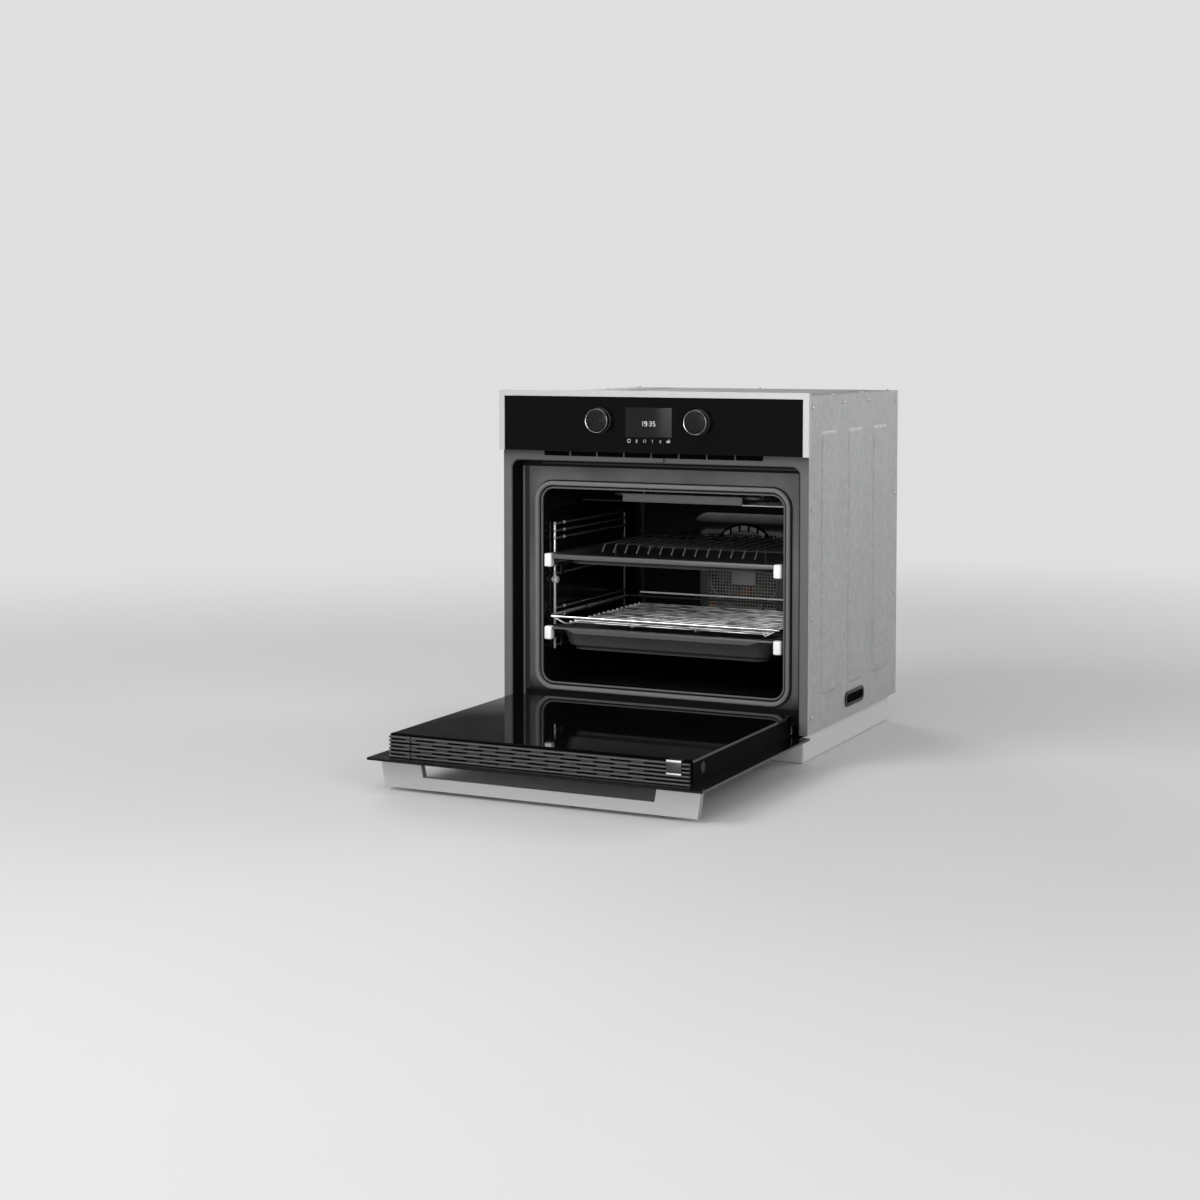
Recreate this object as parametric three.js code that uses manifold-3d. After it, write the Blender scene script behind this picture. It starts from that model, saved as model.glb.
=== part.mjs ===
// Built-in wall oven of the 60 cm class, as an assembly of separate pieces.
// Millimetres. +X is to the right as seen from the front, the front faces -Y, +Z is up.
// The origin is the middle of the base pan's underside, where the oven rests on its shelf.
// Within this file depths (y) count from the front plane of the control panel, and the whole
// oven is moved by BASE_CENTRE_Y at the end. The door is drawn shut and stands open at rest.
import * as THREE from 'three';
import { mergeVertices } from 'three/addons/utils/BufferGeometryUtils.js';
import Module from 'manifold-3d';

const wasm = await Module();
wasm.setup();

// ---------------------------------------------------------------- driving dimensions
const GAP = 0.3; // between pieces that touch
const SHEET = 0.8; // casing sheet metal
const OVER = 2; // how far a cutter reaches past what it cuts

// Front
const FRONT_W = 595;
const FRONT_TOP = 595;
const PANEL_LOW = 486; // lower edge of the control panel
const PANEL_GLASS_FRONT = 0.5;
const PANEL_GLASS_T = 4;
const TRIM_W = 10.8; // visible width of the trim strip
const TRIM_T = 4.5;
const TRIM_SKIRT = 1.5;

// Casing
const CASE_W = 556;
const CASE_TOP = 587;
const CASE_BACK = 546.5;
const BASE_LIP = 12;
const LOUVRE_W = 120;
const LOUVRE_H = 6;
const LOUVRE_PITCH = 16;
const LOUVRE_ROWS = 5;
const LOUVRE_X = 72; // middle of each row's slots, left and right
const LOUVRE_LOW = 380;
const TOP_LOUVRE_FRONT = 360;

// Front frame with its recess for the door
const FRAME_Y = 10; // depth of its face
const FRAME_T = 1.5;
const FRAME_W = 587;
const FRAME_FOOT = 8; // where its face starts above the base
const FRAME_TOP = 491.5;
const RECESS_W = 555;
const RECESS_TOP = 467.5;
const RECESS_BACK = 52;
const RECESS_R = 15;
const RECESS_FLOOR_Y = 24; // where the recess floor starts, behind the door's swing
const MUFFLE_HOLE_MARGIN = 6; // the hole in the recess's back, round the cavity
const ARM_SLOT_SIDE = 3;
const ARM_SLOT_ENDS = 1;
const SWITCH_X = 17.5;
const SWITCH_W = 15;
const SWITCH_REACH = 4.2;
const SWITCH_H = 6;

// Air outlet slot and duct
const SLOT_W = 424;
const SLOT_LOW = 477;
const SLOT_HIGH = 485.6;
const SLOT_COUNT = 8;
const SLOT_RIB = 2.4;
const DUCT_T = 1;
const DUCT_SIDE = 4; // from the slot's end to the duct's outer side
const DUCT_LIP = 0.5; // from the slot's edges to the inside of the duct
const DUCT_BACK = 330;
const DUCT_LOW = 455;
const DUCT_RAMP_START = 54.5;
const DUCT_RAMP_END = 90;

// Cavity
const CAVITY_W = 480;
const CAVITY_LOW = 56.5;
const CAVITY_TOP = 418.5;
const CAVITY_R = 26;
const CAVITY_FRONT = 50;
const CAVITY_BACK = 468;
const MUFFLE_T = 1;
const FLANGE_W = 524;
const FLANGE_LOW = 37;
const FLANGE_TOP = 450;
const FLANGE_R = 30;
const GASKET_IN_W = 475; // between the gasket's inner edges
const GASKET_IN_LOW = 57.5;
const GASKET_IN_TOP = 418;
const GASKET_W = 13.5;
const GASKET_H = 7.2;
const GASKET_R = 25;
const BLANKET_SPACE = 2; // round the cavity, for its flange weld
const BLANKET_T = 25;
const BLANKET_FLOOR_T = 20;
const BLANKET_FLOOR_SPACE = 13.5; // room under the cavity for the bottom element
const BLANKET_FRONT = 56;
const BLANKET_BACK = 464;

// Door, drawn shut
const DOOR_T = 42; // front face to the inner glass's face
const DOOR_SIDE_ROOM = 10.5; // from the recess wall to the door's body
const DOOR_LOW = 14;
const DOOR_TOP = 482.5;
const DOOR_BODY_TOP = 464;
const GLASS_T = 4;
const MIDDLE_GLASS_Y = 19;
const MIDDLE_GLASS_LOW = 40;
const VENT_H = 16;
const VENT_RIDGES = 6;
const VENT_GROOVE = 2.4;
const VENT_GROOVE_DEPTH = 2.5;
const VENT_WALL = 2;
const VENT_END_WALL = 7;
const COLUMN_W = 28;
const COLUMN_LOW = 24;
const PROFILE_T = 1.5;
const BOTTOM_PROFILE_T = 2;
const BOTTOM_PROFILE_LOW = 17;
const HINGE_Y = 13;
const HINGE_Z = 13.5;
const HINGE_INSET = 13; // from the door body's side to the middle of the hinge
const HINGE_ARM_T = 8;
const HINGE_ARM_H = 12;
const HINGE_ARM_BACK = 110;
const HINGE_FOOT_W = 20;
const HINGE_FOOT_FRONT = 60;
const HINGE_EYE_R = 8;
const HINGE_PIN_R = 3;
const HINGE_PIN_CLEAR = 0.3;
const HINGE_CHEEK_T = 2;
const HINGE_CHEEK_CLEAR = 2;
const HINGE_NECK_TOP = 39.5;
const HINGE_NECK_D = 12;
const HINGE_HOUSING_BACK = 34;
const HINGE_HOUSING_TOP = 180;
const SPRING_LOW = 64;
const SPRING_TOP = 168;
const SPRING_R = 4.5;
const SPRING_BEHIND = 9; // from the hinge axis to the spring's
const SPRING_ANCHOR = 3;
const CLIP_IN = 228.7;
const CLIP_OUT = 255.8;
const CLIP_FRONT = 23;
const CLIP_H = 12;

// Handle, drawn on the shut door
const HANDLE_TOP = 457.5;
const HANDLE_T = 12;
const HANDLE_REACH = 46; // how far it stands out from the glass
const HANDLE_BAR = 20; // width of its bar
const HANDLE_W = 570;
const HANDLE_TAPER = 6.5;
const HANDLE_MOUNT_W = 74;
const HANDLE_MOUNT_TAPER = 5;

// Controls
const KNOB_X = 94.6;
const KNOB_Z = 542;
const KNOB_R = 21.6;
const KNOB_SKIRT_R = 23;
const KNOB_SKIRT_T = 4.7;
const KNOB_REACH = 17;
const SHAFT_R = 3;
const SHAFT_CLEAR = 0.4;
const SHAFT_FRONT = 13; // how far the shafts stand out of the panel
const SHAFT_HOLE_CLEAR = 1.5;
const ENCODER_W = 18;
const ENCODER_Y = 8;
const DISPLAY_W = 90;
const DISPLAY_LOW = 513;
const DISPLAY_TOP = 567;
const HOUSING_LAP = 8; // how far the control housing runs back over the casing
const HOUSING_LOW = 493;
const BOARD_W = 300;
const BOARD_T = 1.6;
const BOARD_Y = 22;
const BOARD_LOW = 501;
const BOARD_TOP = 580;
const TERMINAL_W = 70;
const TERMINAL_X = -200;
const TERMINAL_LOW = 520;
const TERMINAL_TOP = 560;
const TERMINAL_D = 21;
const CABLE_R = 6;
const CABLE_DEPTH = 20;

// Telescopic runners and what rides on them
const UPPER_Z = 283.3; // middle height of the upper pair
const LOWER_Z = 150;
const RAIL_X = 222; // inner edge of the fixed rail
const RAIL_W = 9;
const RAIL_H = 22;
const RAIL_T = 2;
const RAIL_PLAY = 0.4;
const RAIL_FRONT = 62;
const RAIL_BACK = 420;
const SLIDE_BACK = 410;
const CLIP_PLATE_T = 2.5; // the plates that hold a fixed rail on two guide rungs
const CLIP_PLATE_W = 14;
const CLIP_PLATE_DROP = 21;
const CLIP_PLATE_Y = [110, 380];
const STOP_FRONT = 46;
const STOP_IN = 216;
const STOP_OUT = 230.5;
const STOP_H = 24.4;
const STOP_T = 14;
const LEDGE_IN = 213;
const LEDGE_RISE = 9.9; // from the rail's middle to the ledge that carries the tray
const TRAY_W = 438;
const TRAY_FRONT = 48;
const TRAY_BACK = 415;
const TRAY_RIM_T = 1;
const TRAY_LIP_T = 1.5;
const TRAY_BODY_W = 412;
const TRAY_BODY_FRONT = 62;
const TRAY_BODY_BACK = 405;
const TRAY_BODY_R = 12;
const TRAY_SIDE_CLEAR = 0.6; // beside the stops
const TRAY_CORNER = 55; // length of the lip's low ends
const SHALLOW_DEPTH = 18;
const SHALLOW_FLARE = 8;
const SHALLOW_LIP = 8.5;
const DEEP_DEPTH = 42;
const DEEP_FLARE = 12;
const DEEP_LIP = 10;
const GRID_TOP = 308;
const GRID_FRONT = 139;
const GRID_BACK = 385;
const GRID_DROP = 13;
const GRID_WIRES = 14;
const GRID_PITCH = 23.2;
const GRID_WIRE_R = 1.6;
const GRID_BEND = 3;
const GRID_FOOT_X = 150;
const GRID_FOOT_Y = [182, 368];
const GRID_FOOT_R = 1.8;
const GRID_BAR_END = 10;

// Side racks and wire shelf
const RACK_X = 232; // middle of the guide rungs
const RACK_POST_X = 236;
const RACK_WIRE_R = 2.5;
const RACK_FRONT = 100;
const RACK_BACK = 404;
const RACK_LOW = 114;
const RACK_OVERHANG = 12;
const RUNG_HEIGHTS = [121, 134.5, 175, 190, 254, 268.5, 319, 332.5, 346];
const RACK_NUT_Z = 242;
const RACK_NUT_R = 7;
const SHELF_Z = 180;
const SHELF_HALF = 228;
const SHELF_FRONT = 54;
const SHELF_BACK = 400;
const SHELF_BARS = 16;
const SHELF_BAR_R = 1.6;
const SHELF_BAR_PITCH = 20;
const SHELF_BAR_HALF = 191;
const SHELF_DROP = 11; // the bars lie this far under the frame
const SHELF_FIRST_BAR = 19; // behind the front wire
const SHELF_CARRIER_X = [63, 188];
const SHELF_CARRIER_RUN = 9; // the carriers' ends come down over this depth
const SHELF_GUARD_RISE = 8;
const SHELF_GUARD_HALF = 200;

// Air movers
const FAN_Z = 236;
const FAN_R = 62;
const FAN_BLADES = 10;
const FAN_BLADE_IN = 24;
const FAN_BLADE_T = 1.2;
const FAN_FRONT = 446.5;
const FAN_PLATE_Y = 461;
const FAN_PLATE_T = 1.5;
const FAN_HUB_R = 14;
const FAN_HUB_Y = 450;
const FAN_SHAFT_BACK = 495;
const FAN_SHAFT_HOLE_CLEAR = 2.5;
const FAN_MOTOR_R = 36;
const FAN_MOTOR_BACK = 520;
const FAN_MOTOR_PLATE_R = 46;
const BAFFLE_FRONT = 440;
const BAFFLE_W = 176; // of its raised flat
const BAFFLE_H = 156;
const BAFFLE_R = 12;
const BAFFLE_FLARE = 30;
const BAFFLE_HOLE = 12;
const BAFFLE_HOLE_PITCH = 21.5;
const BAFFLE_HOLE_COLUMNS = 3; // on each side of the middle one
const BAFFLE_HOLE_ROWS = 2;
const BAFFLE_PLAIN = 1; // rows and columns left plain round the middle
const BLOWER_Y = 412;
const BLOWER_R = 80;
const BLOWER_THROAT_W = 190;
const BLOWER_INLET_R = 45;
const BLOWER_ROTOR_R = 66;
const BLOWER_BLADES = 12;
const BLOWER_BLADE_D = 16;
const BLOWER_BLADE_T = 1.6;
const BLOWER_HUB_R = 12;
const BLOWER_FLOOR = 3; // under the rotor
const BLOWER_HEADROOM = 4;
const BLOWER_PLATE_T = 1.5;
const BLOWER_MOTOR_LOW = 500;
const BLOWER_MOTOR_TOP = 538;
const BLOWER_MOTOR_R = 34;
const BLOWER_ARM_REACH = 70;
const BLOWER_ARM_W = 10;
const BLOWER_ARM_T = 3;
const BLOWER_SHAFT_TOP = 510;
const MOTOR_SHAFT_R = 3.5;
const MOTOR_SHAFT_CLEAR = 0.5;
const MOTOR_SHAFT_END = 5; // room behind the end of a motor's shaft

// Heating elements
const ELEMENT_R = 3.25;
const ELEMENT_BEND = 22;
const ELEMENT_HOLE_CLEAR = 1.5;
const TERMINAL_BACK = 480;
const RING_Y = 454;
const RING_R = 78;
const RING_TERMINAL_X = 12;
const GRILL_Z = 399;
const GRILL_FRONT = 168;
const GRILL_NEAR = 190;
const GRILL_FAR = 405;
const GRILL_OUTER_X = 150;
const GRILL_INNER_X = 90;
const GRILL_TERMINAL_X = 30;
const FLOOR_ELEMENT_DROP = 6.5; // from the cavity's underside to the element's middle
const FLOOR_ELEMENT_FRONT = 130;
const FLOOR_ELEMENT_FAR = 440;
const FLOOR_ELEMENT_X = 170;
const FLOOR_TERMINAL_X = 25;
const FLOOR_TERMINAL_BACK = 500;
const SHIELD_Z = 387;
const SHIELD_T = 1.5;
const SHIELD_W = 410;
const SHIELD_FRONT = 145;
const SHIELD_BACK = 438;
const SHIELD_RIM = 12;
const SHIELD_LIP_W = 236;
const SHIELD_LIP_H = 11.6;
const SHIELD_HANGER_R = 2;
const SHIELD_HANGER_INSET = 2; // outside the lip's ends
const SHIELD_HANGER_Y = [243, 425];

// Lamp
const LAMP_X = 185;
const LAMP_Z = 372;
const LENS_R = 26;
const LENS_D = 13;
const LENS_T = 3;
const LAMP_R = 24;
const LAMP_NECK_R = 17;
const LAMP_NECK_REACH = 6;
const LAMP_HOLE_CLEAR = 2;
const LAMP_BACK = 505;

// What follows from those sizes
const SIDES = { left: -1, right: 1 };
const CHASSIS_FRONT = RECESS_BACK + FRAME_T + GAP; // where the casing starts, behind the frame
const CHASSIS_BACK = CASE_BACK - SHEET - GAP; // where it ends, in front of the back panel
const BASE_CENTRE_Y = (CHASSIS_FRONT + CHASSIS_BACK) / 2;
const DOOR_BODY_W = RECESS_W - 2 * DOOR_SIDE_ROOM;
const HINGE_X = DOOR_BODY_W / 2 - HINGE_INSET;

// ---------------------------------------------------------------- geometry helpers
const ARC_STEPS = 4;

// A box between two corners, given as ranges along x, y and z in either order.
function block(x0, x1, y0, y1, z0, z1) {
  const size = [x1 - x0, y1 - y0, z1 - z0].map(Math.abs);
  return new THREE.BoxGeometry(...size).translate((x0 + x1) / 2, (y0 + y1) / 2, (z0 + z1) / 2);
}

// A box centred on x = 0.
function slab(width, y0, y1, z0, z1) {
  return block(-width / 2, width / 2, y0, y1, z0, z1);
}

function rodX(r, x0, x1, y, z, sides = 20) {
  const rod = new THREE.CylinderGeometry(r, r, Math.abs(x1 - x0), sides).rotateZ(Math.PI / 2);
  return rod.translate((x0 + x1) / 2, y, z);
}

function rodY(r, y0, y1, x, z, sides = 20) {
  return new THREE.CylinderGeometry(r, r, y1 - y0, sides).translate(x, (y0 + y1) / 2, z);
}

function rodZ(r, z0, z1, x, y, sides = 20) {
  const rod = new THREE.CylinderGeometry(r, r, z1 - z0, sides).rotateX(Math.PI / 2);
  return rod.translate(x, y, (z0 + z1) / 2);
}

function roundedRect(a0, a1, b0, b1, r) {
  const shape = new THREE.Shape();
  shape.absarc(a1 - r, b0 + r, r, -Math.PI / 2, 0);
  shape.absarc(a1 - r, b1 - r, r, 0, Math.PI / 2);
  shape.absarc(a0 + r, b1 - r, r, Math.PI / 2, Math.PI);
  shape.absarc(a0 + r, b0 + r, r, Math.PI, 1.5 * Math.PI);
  return shape.closePath();
}

const outline = (points) => new THREE.Shape(points.map(([a, b]) => new THREE.Vector2(a, b)));

function extrude(shape, depth) {
  return new THREE.ExtrudeGeometry(shape, { depth, bevelEnabled: false, curveSegments: ARC_STEPS });
}

// Outlines are drawn in (x, y), (x, z) or (y, z), and run along the axis that is left.
const alongZ = (shape, z0, z1) => extrude(shape, z1 - z0).translate(0, 0, z0);
const alongY = (shape, y0, y1) => extrude(shape, y1 - y0).rotateX(Math.PI / 2).translate(0, y1, 0);

function alongX(shape, x0, x1) {
  const turn = new THREE.Matrix4().makeBasis(
    new THREE.Vector3(0, 1, 0), new THREE.Vector3(0, 0, 1), new THREE.Vector3(1, 0, 0));
  return extrude(shape, x1 - x0).applyMatrix4(turn).translate(x0, 0, 0);
}

// A block on an outline whose sides lean outwards by flare over its height, then stay upright.
function flared(shape, height, flare) {
  return new THREE.ExtrudeGeometry(shape, {
    depth: OVER, bevelThickness: height, bevelSize: flare, bevelSegments: 1,
    curveSegments: ARC_STEPS,
  });
}

// A route through corner points whose corners are rounded by arcs of one radius.
class Route extends THREE.Curve {
  constructor(corners, bend, bendSteps) {
    super();
    const at = corners.map((corner) => new THREE.Vector3(...corner));
    this.points = at.flatMap((corner, i) => {
      const isEnd = i === 0 || i === at.length - 1;
      return isEnd ? [corner] : Route.arc(at[i - 1], corner, at[i + 1], bend, bendSteps);
    });
  }

  static arc(before, corner, after, bend, steps) {
    const back = before.clone().sub(corner).normalize();
    const ahead = after.clone().sub(corner).normalize();
    const halfAngle = back.angleTo(ahead) / 2;
    const towards = back.clone().add(ahead).normalize();
    const centre = corner.clone().addScaledVector(towards, bend / Math.sin(halfAngle));
    const start = corner.clone().addScaledVector(back, bend / Math.tan(halfAngle)).sub(centre);
    const end = corner.clone().addScaledVector(ahead, bend / Math.tan(halfAngle)).sub(centre);
    const axis = start.clone().cross(end).normalize();
    const turn = Math.PI - 2 * halfAngle;
    return Array.from({ length: steps + 1 }, (_, i) =>
      start.clone().applyAxisAngle(axis, (turn * i) / steps).add(centre));
  }

  getPoint(t, target = new THREE.Vector3()) {
    const place = t * (this.points.length - 1);
    const i = Math.min(Math.floor(place), this.points.length - 2);
    return target.lerpVectors(this.points[i], this.points[i + 1], place - i);
  }

  getPointAt(u, target) {
    return this.getPoint(u, target);
  }

  getTangentAt(u, target = new THREE.Vector3()) {
    const last = this.points.length - 1;
    const i = Math.round(u * last);
    const [a, b, c] = [Math.max(i - 1, 0), i, Math.min(i + 1, last)].map((k) => this.points[k]);
    const before = b.clone().sub(a).normalize();
    return target.copy(c).sub(b).normalize().add(before).normalize();
  }
}

function tube(corners, bend, radius, { sides = 6, bendSteps = 4 } = {}) {
  const route = new Route(corners, bend, bendSteps);
  const section = outline(Array.from({ length: sides }, (_, i) => {
    const angle = (2 * Math.PI * i) / sides;
    return [radius * Math.cos(angle), radius * Math.sin(angle)];
  }));
  return new THREE.ExtrudeGeometry(section, {
    steps: route.points.length - 1, bevelEnabled: false, extrudePath: route,
  });
}

function solid(geometry) {
  const bare = geometry.clone();
  bare.deleteAttribute('normal');
  bare.deleteAttribute('uv');
  const merged = mergeVertices(bare, 1e-4);
  return new wasm.Manifold(new wasm.Mesh({
    numProp: 3,
    vertProperties: merged.attributes.position.array,
    triVerts: merged.index.array,
  }));
}

// Joins the first list of geometries and takes the second list away from them.
function made(joined, cut = []) {
  let whole = joined.map(solid).reduce((a, b) => a.add(b));
  if (cut.length) whole = whole.subtract(cut.map(solid).reduce((a, b) => a.add(b)));
  const mesh = whole.getMesh();
  return new THREE.BufferGeometry()
    .setAttribute('position', new THREE.BufferAttribute(mesh.vertProperties, 3))
    .setIndex(new THREE.BufferAttribute(mesh.triVerts, 1));
}

// Copies of a geometry set round the y or z axis through a point.
function aroundY(geometry, count, x, z) {
  return Array.from({ length: count }, (_, i) =>
    geometry.clone().rotateY((2 * Math.PI * i) / count).translate(x, 0, z));
}

function aroundZ(geometry, count, x, y) {
  return Array.from({ length: count }, (_, i) =>
    geometry.clone().rotateZ((2 * Math.PI * i) / count).translate(x, y, 0));
}

// ---------------------------------------------------------------- finishes
const finishes = {
  galvanised: { color: 0x9a9d9f, roughness: 0.45, metalness: 0.9 },
  frameGrey: { color: 0x5c5d5e, roughness: 0.4, metalness: 0.6 },
  enamel: { color: 0x0d0d0e, roughness: 0.25, metalness: 0 },
  gasketGrey: { color: 0x6f7071, roughness: 0.8, metalness: 0 },
  wool: { color: 0xb7a878, roughness: 1, metalness: 0 },
  chrome: { color: 0xd5d6d8, roughness: 0.15, metalness: 1 },
  aluminium: { color: 0xa5a6a8, roughness: 0.35, metalness: 1 },
  stainless: { color: 0xc9cacb, roughness: 0.3, metalness: 1 },
  elementSteel: { color: 0x3a3735, roughness: 0.5, metalness: 0.8 },
  blackGlass: { color: 0x050505, roughness: 0.05, metalness: 0 },
  clearGlass: { color: 0xdfe6e4, roughness: 0.02, metalness: 0, transparent: true, opacity: 0.35 },
  blackPlastic: { color: 0x121213, roughness: 0.45, metalness: 0 },
  whitePlastic: { color: 0xf0f0ee, roughness: 0.5, metalness: 0 },
  boardGreen: { color: 0x1d5a34, roughness: 0.6, metalness: 0 },
};

const oven = new THREE.Group();
oven.position.y = -BASE_CENTRE_Y;

function piece(parent, name, geometry, finish) {
  const mesh = new THREE.Mesh(geometry, new THREE.MeshStandardMaterial(finishes[finish]));
  mesh.name = name;
  parent.add(mesh);
}

// ---------------------------------------------------------------- casing
const panelInner = CASE_W / 2 - SHEET; // inner face of the side panels
const baseHalf = panelInner - GAP;

function basePan() {
  const hollow = slab(2 * (baseHalf - SHEET), CHASSIS_FRONT - OVER, CHASSIS_BACK - SHEET, SHEET,
    BASE_LIP + OVER);
  return made([slab(2 * baseHalf, CHASSIS_FRONT, CHASSIS_BACK, 0, BASE_LIP)], [hollow]);
}

function sidePanel(side) {
  return block(side * panelInner, side * CASE_W / 2, CHASSIS_FRONT, CHASSIS_BACK, GAP, CASE_TOP);
}

// Two columns of louvres: each cutter gets its range of x and how far on its row is.
function louvres(cutter) {
  return [-1, 1].flatMap((side) => Array.from({ length: LOUVRE_ROWS }, (_, i) => {
    const x = side * LOUVRE_X;
    return cutter(x - LOUVRE_W / 2, x + LOUVRE_W / 2, i * LOUVRE_PITCH);
  }));
}

function backPanel() {
  const slots = louvres((x0, x1, rise) => block(x0, x1, CHASSIS_BACK, CASE_BACK + OVER,
    LOUVRE_LOW + rise, LOUVRE_LOW + rise + LOUVRE_H));
  return made([slab(CASE_W, CASE_BACK - SHEET, CASE_BACK, GAP, CASE_TOP)], slots);
}

function topCover() {
  const slots = louvres((x0, x1, rise) => block(x0, x1, TOP_LOUVRE_FRONT + rise,
    TOP_LOUVRE_FRONT + rise + LOUVRE_H, CASE_TOP - SHEET - OVER, CASE_TOP + OVER));
  return made([slab(2 * baseHalf, CHASSIS_FRONT, CHASSIS_BACK, CASE_TOP - SHEET, CASE_TOP)], slots);
}

piece(oven, 'base_pan', basePan(), 'galvanised');
for (const [name, side] of Object.entries(SIDES)) {
  piece(oven, `side_panel_${name}`, sidePanel(side), 'galvanised');
}
piece(oven, 'back_panel', backPanel(), 'galvanised');
piece(oven, 'top_cover', topCover(), 'galvanised');

// ---------------------------------------------------------------- front frame
function airSlots() {
  const pitch = SLOT_W / SLOT_COUNT;
  return Array.from({ length: SLOT_COUNT }, (_, i) => {
    const x = -SLOT_W / 2 + i * pitch;
    return block(x + SLOT_RIB / 2, x + pitch - SLOT_RIB / 2, FRAME_Y - OVER, FRAME_Y + FRAME_T + OVER,
      SLOT_LOW, SLOT_HIGH);
  });
}

function frontFrame() {
  const half = RECESS_W / 2;
  const back = RECESS_BACK + FRAME_T;
  const tubOuter = roundedRect(-half - FRAME_T, half + FRAME_T, 0, RECESS_TOP + FRAME_T,
    RECESS_R + FRAME_T);
  const tubInner = roundedRect(-half, half, FRAME_T, RECESS_TOP, RECESS_R);
  const holeHalf = CAVITY_W / 2 + MUFFLE_HOLE_MARGIN;
  const muffleHole = roundedRect(-holeHalf, holeHalf, CAVITY_LOW - MUFFLE_HOLE_MARGIN,
    CAVITY_TOP + MUFFLE_HOLE_MARGIN, FLANGE_R);
  const slotHalf = HINGE_ARM_T / 2 + ARM_SLOT_SIDE;
  const slotRise = HINGE_EYE_R + ARM_SLOT_ENDS;
  const armSlots = Object.values(SIDES).map((side) =>
    block(side * HINGE_X - slotHalf, side * HINGE_X + slotHalf, RECESS_BACK - OVER, back + OVER,
      HINGE_Z - slotRise, HINGE_Z + slotRise));
  return made([
    alongY(tubOuter, FRAME_Y, back),
    slab(FRAME_W, FRAME_Y, FRAME_Y + FRAME_T, FRAME_FOOT, FRAME_TOP),
  ], [
    alongY(tubInner, FRAME_Y - OVER, RECESS_BACK),
    slab(RECESS_W, FRAME_Y - OVER, RECESS_FLOOR_Y, -OVER, FRAME_FOOT + RECESS_R),
    slab(FRAME_W + OVER, FRAME_Y - OVER, RECESS_FLOOR_Y, -OVER, FRAME_FOOT),
    alongY(muffleHole, RECESS_BACK - OVER, back + OVER),
    ...armSlots,
    ...airSlots(),
  ]);
}

function doorSwitch() {
  const back = FRAME_Y - GAP;
  const top = SLOT_LOW - GAP;
  return block(SWITCH_X - SWITCH_W / 2, SWITCH_X + SWITCH_W / 2, back - SWITCH_REACH, back,
    top - SWITCH_H, top);
}

piece(oven, 'front_frame', frontFrame(), 'frameGrey');
piece(oven, 'door_switch', doorSwitch(), 'frameGrey');

// ---------------------------------------------------------------- cavity and its seal
const rearWallBack = CAVITY_BACK + MUFFLE_T;
const muffleOuterHalf = CAVITY_W / 2 + MUFFLE_T;
const muffleUnderside = CAVITY_LOW - MUFFLE_T;

function rearHoles(r, centres) {
  return centres.map(([x, z]) => rodY(r, CAVITY_BACK - OVER, rearWallBack + OVER, x, z, 12));
}

function muffle() {
  const flange = roundedRect(-FLANGE_W / 2, FLANGE_W / 2, FLANGE_LOW, FLANGE_TOP, FLANGE_R);
  const outer = roundedRect(-muffleOuterHalf, muffleOuterHalf, muffleUnderside, CAVITY_TOP + MUFFLE_T,
    CAVITY_R + MUFFLE_T);
  const inner = roundedRect(-CAVITY_W / 2, CAVITY_W / 2, CAVITY_LOW, CAVITY_TOP, CAVITY_R);
  const terminals = [-1, 1].flatMap((side) => [
    [side * RING_TERMINAL_X, FAN_Z + RING_R],
    [side * GRILL_TERMINAL_X, GRILL_Z],
  ]);
  return made([
    alongY(flange, CAVITY_FRONT, CAVITY_FRONT + FRAME_T),
    alongY(outer, CAVITY_FRONT, rearWallBack),
  ], [
    alongY(inner, CAVITY_FRONT - OVER, CAVITY_BACK),
    ...rearHoles(MOTOR_SHAFT_R + FAN_SHAFT_HOLE_CLEAR, [[0, FAN_Z]]),
    ...rearHoles(LAMP_NECK_R + LAMP_HOLE_CLEAR, [[LAMP_X, LAMP_Z]]),
    ...rearHoles(ELEMENT_R + ELEMENT_HOLE_CLEAR, terminals),
  ]);
}

function gasket() {
  const half = GASKET_IN_W / 2;
  const outer = roundedRect(-half - GASKET_W, half + GASKET_W, GASKET_IN_LOW - GASKET_W,
    GASKET_IN_TOP + GASKET_W, GASKET_R + GASKET_W);
  const inner = roundedRect(-half, half, GASKET_IN_LOW, GASKET_IN_TOP, GASKET_R);
  const back = CAVITY_FRONT - GAP;
  const front = back - GASKET_H;
  return made([alongY(outer, front, back)], [alongY(inner, front - OVER, back + OVER)]);
}

function blanket() {
  const half = muffleOuterHalf + BLANKET_SPACE;
  const low = muffleUnderside - BLANKET_FLOOR_SPACE;
  const top = CAVITY_TOP + MUFFLE_T + BLANKET_SPACE;
  const outer = roundedRect(-half - BLANKET_T, half + BLANKET_T, low - BLANKET_FLOOR_T,
    top + BLANKET_T, FLANGE_R);
  const inner = roundedRect(-half, half, low, top, CAVITY_R);
  return made([alongY(outer, BLANKET_FRONT, BLANKET_BACK)],
    [alongY(inner, BLANKET_FRONT - OVER, BLANKET_BACK + OVER)]);
}

piece(oven, 'oven_muffle', muffle(), 'enamel');
piece(oven, 'door_gasket', gasket(), 'gasketGrey');
piece(oven, 'insulation_blanket', blanket(), 'wool');

// ---------------------------------------------------------------- heating elements and shield
// A heating tube from its right-hand corners, given as [x, y], and their mirror images.
function heatingTube(corners, z) {
  const right = corners.map(([x, y]) => [x, y, z]);
  const left = right.map(([x, y]) => [-x, y, z]).reverse();
  return tube([...left, ...right], ELEMENT_BEND, ELEMENT_R);
}

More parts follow.
